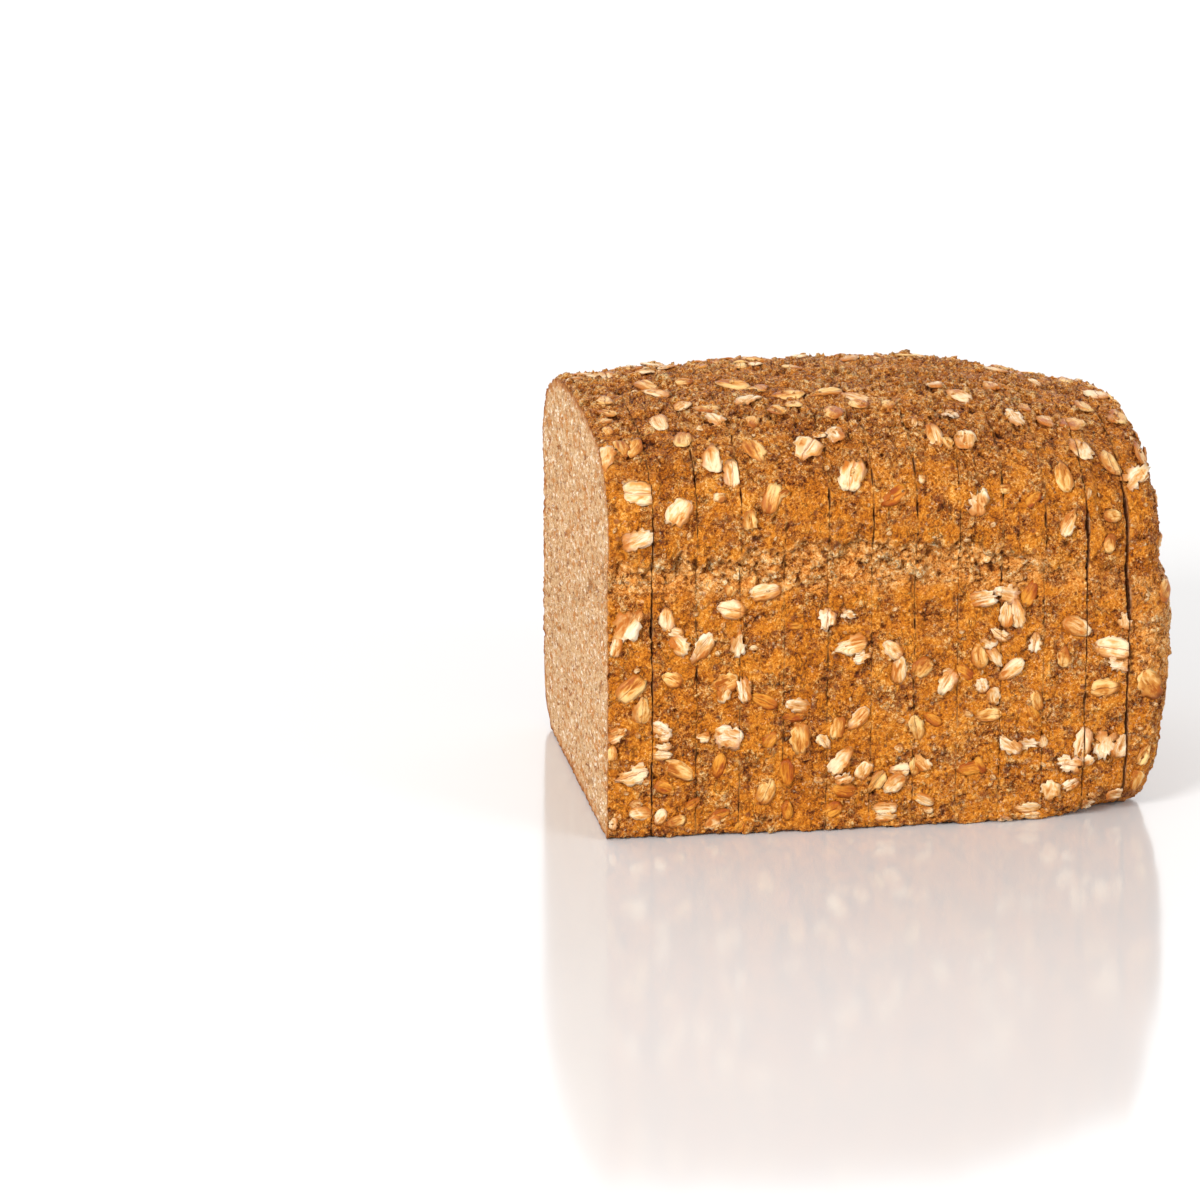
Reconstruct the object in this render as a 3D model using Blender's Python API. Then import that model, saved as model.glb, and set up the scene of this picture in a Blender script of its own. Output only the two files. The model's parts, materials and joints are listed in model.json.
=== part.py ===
"""The longer half of a sliced wholemeal tin loaf with rolled oats on its crust.

The loaf lies along X, cut face at -X and heel at +X, its front side facing -Y and its base on Z = 0.
Twelve slices stand close together behind each other, and the rounded heel closes the row.
Lengths are in metres.
"""

import math
import random

import bmesh
import bpy
from mathutils import Matrix, Vector, noise

# Driving dimensions of the loaf
SLICE_PITCH = 0.012
SLICE_COUNT = 12
HEEL_REACH = 0.0168
HALF_WIDTH = 0.058
CROWN_HEIGHT = 0.1133
LOAF_LENGTH = SLICE_COUNT * SLICE_PITCH + HEEL_REACH
HEEL_START = SLICE_COUNT * SLICE_PITCH
LOAF_NAME = "sliced_oat_loaf"

# Where along the loaf its shape changes from the even middle to the rounded heel
EVEN_END = 0.098
ROUND_START = 0.122

# Cross-section
FRONT_CORNER = 0.004
FRONT_CORNER_AT_HEEL = 0.015
BACK_CORNER = 0.018
WALL_BELLY = 0.0012
FRONT_DOME_POWER = 2.9
BACK_DOME_POWER = 2.45
HEEL_DOME_POWER = 2.15
DOME_SPRING = 0.003
DOME_OVERHANG = 0.0010
CROWN_PEAK_X = 0.063
CROWN_FALL_AT_CUT = 0.0033
CROWN_FALL_AT_HEEL = 0.0083
CROWN_FALL_POWER = 1.3
ROW_BOW = 0.0022

# Torn band, where the dough rose over the rim of the tin: widest at mid loaf, lower at the heel
BAND_LOW = 0.0695
BAND_DROP = 0.0085
BAND_WIDTH = 0.0075
BAND_SWELL = 0.0058
BAND_SWELL_X = 0.062
BAND_SWELL_REACH = 0.040
BAND_DEPTH = 0.0017
BAND_FLOOR_EDGES = (0.15, 0.85)
BAND_WAVE = 0.0012

# Rounded end of the loaf
DOME_END_SHORT = 0.0032
DOME_PLAN_CORNER = 0.028
END_POWER = 3.5
END_CENTRE_HEIGHT = 0.052
END_FOOT_TAPER = 0.0060
END_LEDGE_LOW = 0.058
END_LEDGE_HIGH = 0.070
END_BAND_FADE = 4.0
END_RINGS = 5
END_RING_CROWDING = 1.6

# Crust relief
LUMP_SIZE = 0.011
LUMP_HEIGHT = 0.0006
BASE_BLEND = 0.006
SLICE_SHIFT = 0.00035

# Gaps that the knife left: most slices stay pressed together, three have opened
CLOSE_GAP = 0.00035
OPEN_GAPS = {1: 0.0010, 11: 0.0008, 12: 0.0011}

# Mesh fineness
BOTTOM_STEPS = 2
CORNER_STEPS = 3
WALL_STEPS = 5
DOME_STEPS = 8
NORMAL_STEP = 0.0005

# Rolled oat flakes
FLAKE_SEED = 21
FLAKE_SIDES = 8
FLAKE_SHORTEST = 0.0042
FLAKE_LONGEST = 0.0096
FLAKE_SLIMMEST = 0.62
FLAKE_ROUNDEST = 0.80
FLAKE_BUNCH = 0.0050
BUNCH_SHORTEST = 0.0068
BUNCH_LONGEST = 0.0094
FLAKE_SUNK = 0.0012
FLAKE_PROUD = 0.0008
FLAKE_TOP_SHARE = 0.82
FLAKE_LEAST_MODELLED = 0.0056
FLAKE_SPACING = 0.96
EDGE_MARGIN = 0.0006
TABLE_MARGIN = 0.0035

# Bunches that stand out on the front side: millimetres along the loaf, millimetres of girth from the
# middle of the base, and how many flakes lie there
FRONT_BUNCHES = (
    (5, 116, 3), (22, 112, 3), (34, 117, 2), (44, 125, 1), (60, 116, 1), (67, 108, 2),
    (79, 105, 2), (89, 100, 2), (104, 120, 4), (107, 104, 4), (129, 115, 1), (141, 103, 3),
    (8, 95, 2), (34, 98, 2), (46, 94, 2), (66, 87, 2), (15, 84, 2), (52, 83, 1),
    (65, 74, 3), (80, 71, 4), (105, 90, 3), (114, 80, 2), (140, 69, 3), (127, 67, 3),
    (9, 155, 1), (20, 149, 1), (9, 143, 1), (30, 163, 2), (42, 164, 1), (56, 164, 2),
    (66, 155, 1), (45, 148, 2), (100, 148, 1), (96, 168, 3), (126, 150, 2), (134, 172, 2),
)

# Where the rest fell: name, length range along the loaf, girth range, number of flakes.
# A girth past the crown runs down the back side. Lengths past HEEL_START run over the rounded end.
FLAKE_ZONES = (
    ("front foot", 0.001, 0.147, 0.061, 0.082, 24),
    ("front wall", 0.001, 0.147, 0.082, 0.126, 30),
    ("front shoulder", 0.001, 0.150, 0.144, 0.176, 14),
    ("crown", 0.001, 0.150, 0.174, 0.246, 76),
    ("back shoulder", 0.001, 0.150, 0.244, 0.278, 30),
    ("back wall", 0.001, 0.147, 0.292, 0.360, 92),
    ("heel rim", 0.150, 0.172, 0.066, 0.352, 52),
    ("heel end", 0.172, 0.206, 0.000, 0.418, 36),
)

CRUST_COLOUR = (0.47, 0.19, 0.045, 1.0)
CRUST_ROUGHNESS = 0.78


def clear_scene():
    for old in list(bpy.data.objects):
        bpy.data.objects.remove(old)


def smooth_step(low, high, value):
    share = min(1.0, max(0.0, (value - low) / (high - low)))
    return share * share * (3.0 - 2.0 * share)


def crown_height(x):
    """Top of the loaf above the table: a little lower at the cut face, falling off towards the heel."""
    crown = CROWN_HEIGHT
    if x < CROWN_PEAK_X:
        crown -= CROWN_FALL_AT_CUT * ((CROWN_PEAK_X - x) / CROWN_PEAK_X) ** 2
    if x > EVEN_END:
        crown -= CROWN_FALL_AT_HEEL * ((x - EVEN_END) / (HEEL_START - EVEN_END)) ** CROWN_FALL_POWER
    return crown


def dome_half_width(x):
    """Half width of the dome above the band, drawn in round the corners of the heel."""
    corner_start = LOAF_LENGTH - DOME_END_SHORT - DOME_PLAN_CORNER
    share = min(1.0, max(0.0, (x - corner_start) / DOME_PLAN_CORNER))
    return HALF_WIDTH - DOME_PLAN_CORNER * (1.0 - math.sqrt(1.0 - share**2))


def wall_half_width(z):
    """Half width of the tin-baked wall, which bellies out a little at mid height."""
    middle = BAND_LOW / 2
    return HALF_WIDTH - WALL_BELLY * ((z - middle) / middle) ** 2


def band_edges(x):
    """Lower and upper edge of the torn band at this length."""
    low = BAND_LOW - BAND_DROP * smooth_step(EVEN_END, LOAF_LENGTH, x)
    width = BAND_WIDTH + BAND_SWELL * math.exp(-(((x - BAND_SWELL_X) / BAND_SWELL_REACH) ** 2))
    wave = BAND_WAVE * noise.noise(Vector((x / LUMP_SIZE, 0.3, 0.0)))
    return low + wave, low + width - wave


def arc(centre_y, centre_z, radius, steps):
    """Points of a quarter turn from straight down to straight out."""
    angles = [math.pi / 2 * step / steps for step in range(1, steps + 1)]
    return [(centre_y + radius * math.sin(a), centre_z - radius * math.cos(a)) for a in angles]


def half_outline(x, corner, dome_power, band_depth):
    """(y, z) points up one side of the loaf, from the middle of the base to the crown."""
    foot = wall_half_width(corner)
    points = [((foot - corner) * step / BOTTOM_STEPS, 0.0) for step in range(BOTTOM_STEPS + 1)]
    points += arc(foot - corner, corner, corner, CORNER_STEPS)
    low, high = band_edges(x)
    for step in range(1, WALL_STEPS + 1):
        z = corner + (low - corner) * step / WALL_STEPS
        points.append((wall_half_width(z), z))
    dome = dome_half_width(x)
    wall = wall_half_width(low)
    for share in BAND_FLOOR_EDGES:
        points.append((wall + (dome - wall) * share - band_depth, low + share * (high - low)))
    overhang = DOME_OVERHANG * (1.0 - smooth_step(EVEN_END, HEEL_START, x))
    points.append((dome + overhang / 2, high))
    spring = high + DOME_SPRING
    rise = crown_height(x) - spring
    for step in range(DOME_STEPS + 1):
        angle = math.pi / 2 * step / DOME_STEPS
        across = (dome + overhang) * math.cos(angle) ** (2.0 / dome_power) if step < DOME_STEPS else 0.0
        points.append((across, spring + rise * math.sin(angle) ** (2.0 / dome_power)))
    return points


def outline(x, band_share=1.0):
    """Closed cross-section at x as (y, z) points: base, front side, crown, back side."""
    to_heel = smooth_step(EVEN_END, HEEL_START, x)
    rounding = smooth_step(ROUND_START, HEEL_START, x)
    depth = BAND_DEPTH * band_share * (1.0 - to_heel / 2)
    front_corner = FRONT_CORNER + (FRONT_CORNER_AT_HEEL - FRONT_CORNER) * rounding
    front_power = FRONT_DOME_POWER + (HEEL_DOME_POWER - FRONT_DOME_POWER) * to_heel
    back_power = BACK_DOME_POWER + (HEEL_DOME_POWER - BACK_DOME_POWER) * to_heel
    front = [(-y, z) for y, z in half_outline(x, front_corner, front_power, depth)]
    back = half_outline(x, BACK_CORNER, back_power, depth)
    bow = ROW_BOW * (math.sin(math.pi * min(1.0, x / LOAF_LENGTH)) - 0.5)
    return [(y - bow, z) for y, z in front + back[-2:0:-1]]


def end_plane(z):
    """How far along X the rounded end reaches at height z."""
    reach = LOAF_LENGTH
    if z < END_CENTRE_HEIGHT:
        reach -= END_FOOT_TAPER * ((END_CENTRE_HEIGHT - z) / END_CENTRE_HEIGHT) ** 2
    return reach - DOME_END_SHORT * smooth_step(END_LEDGE_LOW, END_LEDGE_HIGH, z)


def loop_at(along):
    """The ring of points round the loaf at this length. Past HEEL_START it runs over the rounded end."""
    if along <= HEEL_START:
        return [Vector((along, y, z)) for y, z in outline(along)]
    angle = min(1.0, (along - HEEL_START) / (HEEL_REACH + HALF_WIDTH)) * math.pi / 2
    inward = math.cos(angle) ** (2.0 / END_POWER)
    forward = math.sin(angle) ** (2.0 / END_POWER)
    ring = []
    for y, z in outline(HEEL_START, inward**END_BAND_FADE):
        height = END_CENTRE_HEIGHT + inward * (z - END_CENTRE_HEIGHT)
        x = HEEL_START + forward * (end_plane(height) - HEEL_START)
        ring.append(Vector((x, inward * y, height)))
    return ring


def girth_point(along, girth):
    """The point on the loaf's smooth skin at this length and this girth, in metres of the first slice."""
    ring = loop_at(along)
    full = outline(0.0)
    travelled = 0.0
    for index, point in enumerate(full):
        following = full[(index + 1) % len(full)]
        step = math.dist(point, following)
        if travelled + step >= girth:
            share = (girth - travelled) / step
            return ring[index].lerp(ring[(index + 1) % len(ring)], share)
        travelled += step
    return ring[0]


def skin_frame(along, girth):
    """Point, outward normal and lengthwise tangent of the smooth skin."""
    here = girth_point(along, girth)
    lengthwise = girth_point(along + NORMAL_STEP, girth) - girth_point(along - NORMAL_STEP, girth)
    round_about = girth_point(along, girth + 2 * NORMAL_STEP) - girth_point(along, girth - 2 * NORMAL_STEP)
    normal = lengthwise.cross(round_about).normalized()
    return here, normal, lengthwise.normalized()


def crust_lump(point):
    """Height of the low bumps in the crust, fading out on the base that carries the loaf."""
    height = LUMP_HEIGHT * noise.noise(point / LUMP_SIZE)
    return height * smooth_step(0.0, BASE_BLEND, point.z)


def lumpy_ring(along, shift):
    """A ring with the crust's low bumps, pushed in its own plane so that cut faces stay flat."""
    ring = loop_at(along)
    middle = Vector((0.0, 0.0, END_CENTRE_HEIGHT))
    pushed = []
    for point in ring:
        outward = Vector((0.0, point.y, point.z)) - middle
        moved = point + outward.normalized() * crust_lump(point)
        pushed.append(moved + Vector((-LOAF_LENGTH / 2, shift, 0.0)))
    return pushed


def loft(name, rings, pole=None):
    """A closed solid through the rings, ending flat or, with a pole, in a fan of triangles."""
    mesh_builder = bmesh.new()
    rows = [[mesh_builder.verts.new(point) for point in ring] for ring in rings]
    count = len(rows[0])
    for first, second in zip(rows, rows[1:]):
        for index in range(count):
            following = (index + 1) % count
            mesh_builder.faces.new((first[index], first[following], second[following], second[index]))
    mesh_builder.faces.new(rows[0][::-1])
    if pole is None:
        mesh_builder.faces.new(rows[-1])
    else:
        tip = mesh_builder.verts.new(pole)
        for index in range(count):
            mesh_builder.faces.new((rows[-1][index], rows[-1][(index + 1) % count], tip))
    bmesh.ops.recalc_face_normals(mesh_builder, faces=mesh_builder.faces)
    mesh = bpy.data.meshes.new(name)
    mesh_builder.to_mesh(mesh)
    mesh_builder.free()
    return mesh


def slice_shift(index):
    """Small sideways shift of one slice in the row."""
    return SLICE_SHIFT * noise.noise(Vector((index * 1.7, 0.4, 0.2)))


def slice_limits(index):
    """Start and end of slice number index, counted from 1, with its share of the gaps beside it."""
    before = OPEN_GAPS.get(index - 1, CLOSE_GAP) / 2 if index > 1 else 0.0
    after = OPEN_GAPS.get(index, CLOSE_GAP) / 2
    return (index - 1) * SLICE_PITCH + before, index * SLICE_PITCH - after


def slice_mesh(index):
    start, end = slice_limits(index)
    shift = slice_shift(index)
    stations = (start, (start + end) / 2, end)
    return loft(f"slice_{index:02d}", [lumpy_ring(x, shift) for x in stations])


def heel_mesh():
    """The end slice: a flat cut towards the row and the rounded end of the loaf beyond."""
    shift = slice_shift(SLICE_COUNT + 1)
    start = HEEL_START + OPEN_GAPS[SLICE_COUNT] / 2
    reach = HEEL_REACH + HALF_WIDTH
    shares = [step / (END_RINGS + 1) for step in range(1, END_RINGS + 1)]
    stations = [HEEL_START + reach * share**END_RING_CROWDING for share in shares]
    rings = [lumpy_ring(HEEL_START, shift)] + [lumpy_ring(x, shift) for x in stations]
    for point in rings[0]:
        point.x = start - LOAF_LENGTH / 2
    pole = Vector((end_plane(END_CENTRE_HEIGHT) - LOAF_LENGTH / 2, shift, END_CENTRE_HEIGHT))
    return loft("heel", rings, pole)


def flake_size(draw, shortest, longest):
    length = draw.triangular(shortest, longest, (2 * shortest + longest) / 3)
    return length, length * draw.uniform(FLAKE_SLIMMEST, FLAKE_ROUNDEST), draw.uniform(0.0, math.pi)


def flake_spots():
    """Every flake as (length along, girth, long side, short side, turn), bunched as they fell."""
    draw = random.Random(FLAKE_SEED)
    spots = []
    for x_mm, girth_mm, number in FRONT_BUNCHES:
        spread = FLAKE_BUNCH if number > 1 else 0.0
        for _ in range(number):
            along = max(0.0, x_mm / 1000 + draw.gauss(0.0, spread))
            girth = girth_mm / 1000 + draw.gauss(0.0, spread)
            spots.append((along, girth, *flake_size(draw, BUNCH_SHORTEST, BUNCH_LONGEST)))
    for _, x_low, x_high, girth_low, girth_high, number in FLAKE_ZONES:
        zone_end = len(spots) + number
        while len(spots) < zone_end:
            centre_x = draw.uniform(x_low, x_high)
            centre_girth = draw.uniform(girth_low, girth_high)
            for _ in range(draw.choice((1, 1, 2, 3))):
                along = min(x_high, max(x_low, centre_x + draw.gauss(0.0, FLAKE_BUNCH)))
                girth = min(girth_high, max(girth_low, centre_girth + draw.gauss(0.0, FLAKE_BUNCH)))
                spots.append((along, girth, *flake_size(draw, FLAKE_SHORTEST, FLAKE_LONGEST)))
    return spots


def kept_in_slice(along, half_reach):
    """(slice number, length) with the flake moved so that it stays clear of the knife's gaps."""
    if along >= HEEL_START - SLICE_PITCH * 0.2:
        return SLICE_COUNT + 1, max(along, HEEL_START + OPEN_GAPS[SLICE_COUNT] / 2 + EDGE_MARGIN + half_reach)
    index = min(SLICE_COUNT, int(along / SLICE_PITCH) + 1)
    start, end = slice_limits(index)
    low, high = start + EDGE_MARGIN + half_reach, end - EDGE_MARGIN - half_reach
    return index, min(max(along, low), high) if low < high else (start + end) / 2


def modelled_flakes():
    """The larger flakes, by slice number, leaving out any that would cross one already laid."""
    laid = []
    by_slice = {index: [] for index in range(1, SLICE_COUNT + 2)}
    for along, girth, length, width, turn in sorted(flake_spots(), key=lambda spot: -spot[2]):
        if length < FLAKE_LEAST_MODELLED:
            break
        half_reach = math.hypot(length * math.cos(turn), width * math.sin(turn)) / 2
        index, along = kept_in_slice(along, half_reach)
        place, normal, tangent = skin_frame(along, girth)
        if place.z < TABLE_MARGIN + length / 2:
            continue
        if any((place - other).length < FLAKE_SPACING * (length + size) / 2 for other, size in laid):
            continue
        laid.append((place, length))
        by_slice[index].append((place, normal, tangent, length, width, turn))
    return by_slice


def flake_object(name, body, place, normal, tangent, length, width, turn):
    """One rolled oat: a low eight-sided flake, sunk into the crust where it lies nearest."""
    mesh_builder = bmesh.new()
    depth = FLAKE_SUNK + FLAKE_PROUD
    bmesh.ops.create_cone(mesh_builder, cap_ends=True, segments=FLAKE_SIDES,
                          radius1=0.5, radius2=0.5 * FLAKE_TOP_SHARE, depth=depth)
    across = normal.cross(tangent).normalized()
    along = across.cross(normal).normalized()
    turned = along * math.cos(turn) + across * math.sin(turn)
    sideways = normal.cross(turned)
    axes = Matrix((turned * length, sideways * width, normal)).transposed().to_4x4()
    seat = body.closest_point_on_mesh(place - Vector((LOAF_LENGTH / 2, 0.0, 0.0)))[1]
    axes.translation = seat + normal * (FLAKE_PROUD - FLAKE_SUNK) / 2
    mesh_builder.transform(axes)
    mesh = bpy.data.meshes.new(name)
    mesh_builder.to_mesh(mesh)
    mesh_builder.free()
    return bpy.data.objects.new(name, mesh)


def fuse_flakes(body, flakes):
    """Joins the flakes to their slice with one Boolean union and removes the loose ones."""
    loose = bpy.data.collections.new(body.name + "_flakes")
    bpy.context.scene.collection.children.link(loose)
    for number, flake in enumerate(flakes):
        loose.objects.link(flake_object(f"{body.name}_flake_{number}", body, *flake))
    union = body.modifiers.new("flakes", "BOOLEAN")
    union.operation = "UNION"
    union.operand_type = "COLLECTION"
    union.solver = "EXACT"
    union.collection = loose
    bpy.context.view_layer.objects.active = body
    bpy.ops.object.modifier_apply(modifier=union.name)
    for flake in list(loose.objects):
        bpy.data.objects.remove(flake)
    bpy.data.collections.remove(loose)


def crust_material():
    material = bpy.data.materials.new("oat_crust")
    material.use_nodes = True
    shader = material.node_tree.nodes["Principled BSDF"]
    shader.inputs["Base Color"].default_value = CRUST_COLOUR
    shader.inputs["Roughness"].default_value = CRUST_ROUGHNESS
    shader.inputs["Metallic"].default_value = 0.0
    return material


def build_loaf():
    clear_scene()
    loaf = bpy.data.collections.new(LOAF_NAME)
    bpy.context.scene.collection.children.link(loaf)
    material = crust_material()
    flakes = modelled_flakes()
    for index in range(1, SLICE_COUNT + 2):
        mesh = slice_mesh(index) if index <= SLICE_COUNT else heel_mesh()
        mesh.materials.append(material)
        body = bpy.data.objects.new(mesh.name, mesh)
        loaf.objects.link(body)
        fuse_flakes(body, flakes[index])


build_loaf()
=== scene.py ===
import json
import math
import random

import bpy
import numpy as np
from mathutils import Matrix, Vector, noise
from mathutils.bvhtree import BVHTree

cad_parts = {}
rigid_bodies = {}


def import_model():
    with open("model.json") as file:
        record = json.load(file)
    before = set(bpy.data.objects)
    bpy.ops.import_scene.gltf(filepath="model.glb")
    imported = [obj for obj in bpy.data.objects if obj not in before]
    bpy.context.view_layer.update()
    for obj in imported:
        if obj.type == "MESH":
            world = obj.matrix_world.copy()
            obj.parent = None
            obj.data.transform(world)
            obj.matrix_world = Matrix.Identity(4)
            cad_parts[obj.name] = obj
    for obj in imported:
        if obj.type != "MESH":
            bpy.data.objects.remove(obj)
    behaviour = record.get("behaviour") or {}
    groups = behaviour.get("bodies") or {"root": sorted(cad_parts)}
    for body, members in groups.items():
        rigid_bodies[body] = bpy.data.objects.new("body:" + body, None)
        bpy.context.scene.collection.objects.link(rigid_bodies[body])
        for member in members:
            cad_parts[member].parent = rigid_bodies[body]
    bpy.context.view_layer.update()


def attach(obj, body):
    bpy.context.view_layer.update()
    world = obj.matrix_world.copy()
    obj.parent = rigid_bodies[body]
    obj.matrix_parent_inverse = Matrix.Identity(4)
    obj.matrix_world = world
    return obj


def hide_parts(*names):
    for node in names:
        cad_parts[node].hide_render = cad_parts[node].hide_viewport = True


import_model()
print("frame loaded")

# lengths are in metres, X runs from the cut face to the heel, the photographed side faces -Y
loaf = {
    "pitch": 0.012,  # one slice
    "slices": 12,
    "heelReach": 0.0168,
    "halfWidth": 0.058,
    "crown": 0.1133,
    "evenEnd": 0.098,  # past this the loaf starts to fall off towards the heel
    "roundStart": 0.122,
    "frontCorner": 0.0026,
    "frontCornerAtHeel": 0.015,
    "backCorner": 0.018,
    "belly": 0.0012,
    "frontPower": 2.9,
    "backPower": 2.45,
    "heelPower": 2.15,
    "spring": 0.003,
    "overhang": 0.0010,
    "crownPeakX": 0.063,
    "crownFallAtCut": 0.0033,
    "crownFallAtHeel": 0.0083,
    "crownFallPower": 1.3,
    "bow": 0.0022,
    "bandLow": 0.0695,
    "bandDrop": 0.0085,
    "bandWidth": 0.0075,
    "bandSwell": 0.0058,
    "bandSwellX": 0.062,
    "bandSwellReach": 0.040,
    "bandDepth": 0.0014,
    "bandWave": 0.0012,
    "lipRagged": 0.0036,
    "lipSize": 0.0046,
    "lipFineSize": 0.0019,
    "rippleSize": 0.0048,
    "domeEndShort": 0.0032,
    "domePlanCorner": 0.028,
    "endPower": 3.5,
    "endCentre": 0.052,
    "endFootTaper": 0.0060,
    "endLedgeLow": 0.058,
    "endLedgeHigh": 0.070,
    "endBandFade": 4.0,
    "lumpSize": 0.011,
    "lumpHeight": 0.0006,
    "baseBlend": 0.006,
    "sliceShift": 0.00035,
}
heelStart = loaf["slices"] * loaf["pitch"]
loafLength = heelStart + loaf["heelReach"]
halfLength = loafLength / 2

knife = {
    "cadGap": 0.00035,
    "closedGap": 0.00001,  # most slices are still pressed together
    "openGaps": {  # height and width of the gap there
        1: ((0.0, 0.00022), (0.030, 0.0003), (0.058, 0.0004), (0.066, 0.0007), (0.074, 0.0002),
            (0.090, 0.0003), (0.100, 0.0001)),
        11: ((0.0, 0.0001), (0.035, 0.0002), (0.060, 0.0002), (0.068, 0.0007), (0.088, 0.0009),
             (0.095, 0.0001)),
        12: ((0.0, 0.0006), (0.030, 0.0008), (0.060, 0.0010), (0.085, 0.0010), (0.097, 0.0008),
             (0.102, 0.0001)),
    },
    "flakeGap": 0.00035,
    "wander": 0.00026,  # how far a cut strays from its plane
    "wanderSize": 0.021,
    "crumble": 0.00034,
    "crumbleClosed": 0.00009,
    "crumbleSize": 0.0023,
    "gape": 0.00075,  # where a closed cut has opened up in places
    "gapeSize": 0.0062,
    "gapeLeast": 0.30,  # the part of the noise that opens nothing
    "gapeUpper": 0.32,  # how much more opens high up on both sides
    "gapeGirth": 0.150,  # where that is, from the middle of the base
    "gapeReach": 0.016,
    "narrowest": 0.00002,
    "flakeWeld": 0.000004,
    "faceRagged": 0.00034,  # how uneven the rim of the bare cut face is
    "edgeWear": 0.00036,
    "edgeWearReach": 0.00040,
    "chipSize": 0.0100,
    "chipAcross": 0.009,
    "chipFineSize": 0.0016,
    "chipFineAcross": 0.004,
    "wearOffBase": 0.004,  # full wear only above this height
    "faceSlack": 0.00008,  # how far the relief may push a cut face
    "faceMargin": 0.0009,  # what lies nearer to a cut than this counts as its face
}

mesh = {
    "base": 44,  # points along each stretch of half a section
    "corner": 14,
    "wall": 132,
    "band": 40,
    "dome": 158,
    "acrossStep": 0.00047,
    "edgeRows": (0.0, 0.00012, 0.00030, 0.00058),  # close rows at a cut
    "firstInner": 0.0010,
    "lastInner": 0.0008,
    "arcSamples": 24,  # how finely each stretch is worked out before its points are spaced
    "wallSamples": 40,
    "domeSamples": 260,
    "weld": 1e-7,
    "hiddenRings": (0.94, 0.62, 0.28, 0.0),
    "cutFineStep": 0.00042,
    "cutFineReach": 0.0042,
    "cutStep": 0.00061,
    "capStep": 0.00058,
    "capStepInside": 0.00095,
    "capMiddle": 0.013,
    "capStepMiddle": 0.00046,
    "capFineShare": 0.42,  # the heel is fine up to here
    "firstCap": 0.0012,  # nearer to the cut than this counts as its face
    "evenColumns": 14,  # how far the ledge is evened out round the girth inside a cut face
}


def smooth(low, high, value):
    share = np.clip((value - low) / (high - low), 0.0, 1.0)
    return share * share * (3.0 - 2.0 * share)


def noiseAt(x, y, z=0.0):
    return noise.noise(Vector((x, y, z)))


def noiseOver(points):
    return np.array([noise.noise(Vector(p)) for p in points])


# the loaf's own form, the same as the solids have

def crownAt(x):
    top = loaf["crown"]
    if x < loaf["crownPeakX"]:
        top -= loaf["crownFallAtCut"] * ((loaf["crownPeakX"] - x) / loaf["crownPeakX"]) ** 2
    if x > loaf["evenEnd"]:
        fall = (x - loaf["evenEnd"]) / (heelStart - loaf["evenEnd"])
        top -= loaf["crownFallAtHeel"] * fall ** loaf["crownFallPower"]
    return top


def domeHalfAt(x):
    start = loafLength - loaf["domeEndShort"] - loaf["domePlanCorner"]
    share = min(1.0, max(0.0, (x - start) / loaf["domePlanCorner"]))
    return loaf["halfWidth"] - loaf["domePlanCorner"] * (1.0 - math.sqrt(1.0 - share ** 2))


def wallHalfAt(z):
    middle = loaf["bandLow"] / 2
    return loaf["halfWidth"] - loaf["belly"] * ((z - middle) / middle) ** 2


def bandAt(x):
    low = loaf["bandLow"] - loaf["bandDrop"] * float(smooth(loaf["evenEnd"], loafLength, x))
    swell = math.exp(-(((x - loaf["bandSwellX"]) / loaf["bandSwellReach"]) ** 2))
    wave = loaf["bandWave"] * noiseAt(x / loaf["lumpSize"], 0.3)
    lip = noiseAt(x / loaf["lipSize"], 7.7) + 0.6 * noiseAt(x / loaf["lipFineSize"], 2.2)
    high = low + loaf["bandWidth"] + loaf["bandSwell"] * swell - wave + loaf["lipRagged"] * lip
    return low + wave, high


def resample(points, count):
    points = np.asarray(points)
    steps = np.hypot(*np.diff(points, axis=0).T)
    travelled = np.concatenate(([0.0], np.cumsum(steps)))
    wanted = np.linspace(0.0, travelled[-1], count + 1)
    return np.stack([np.interp(wanted, travelled, points[:, k]) for k in range(2)], axis=1)


def halfSection(x, corner, power, depth):
    # from the middle of the base up one side to the crown, in (half width, height)
    foot = wallHalfAt(corner)
    turn = np.linspace(0.0, math.pi / 2, mesh["arcSamples"])
    arc = np.stack([foot - corner + corner * np.sin(turn), corner - corner * np.cos(turn)], axis=1)
    low, high = bandAt(x)
    heights = np.linspace(corner, low, mesh["wallSamples"])
    wall = np.stack([wallHalfAt(heights), heights], axis=1)
    dome = domeHalfAt(x)
    over = loaf["overhang"] * (1.0 - float(smooth(loaf["evenEnd"], heelStart, x)))
    share = np.linspace(0.0, 1.0, mesh["wallSamples"])
    lipped = share ** 1.3  # deepest just under the lip of the risen crust
    recess = depth * smooth(0.0, 0.3, lipped) * (1.0 - smooth(0.86, 1.0, lipped))
    edge = wallHalfAt(low)
    band = np.stack([edge + (dome + over / 2 - edge) * share - recess, low + (high - low) * share], axis=1)
    spring = high + loaf["spring"]
    rise = crownAt(x) - spring
    turn = math.pi / 4 * (1.0 - np.cos(math.pi * np.linspace(0.0, 1.0, mesh["domeSamples"])))
    across = (dome + over) * np.abs(np.cos(turn)) ** (2.0 / power)
    across[-1] = 0.0
    top = np.stack([across, spring + rise * np.sin(turn) ** (2.0 / power)], axis=1)
    top = np.concatenate(([[dome + over / 2, high]], top))
    stretches = (
        (np.array([[0.0, 0.0], [foot - corner, 0.0]]), mesh["base"]),
        (arc, mesh["corner"]),
        (wall, mesh["wall"]),
        (band, mesh["band"]),
        (top, mesh["dome"]),
    )
    parts = [resample(points, count)[:-1] for points, count in stretches]
    return np.concatenate(parts + [top[-1:]])


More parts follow.
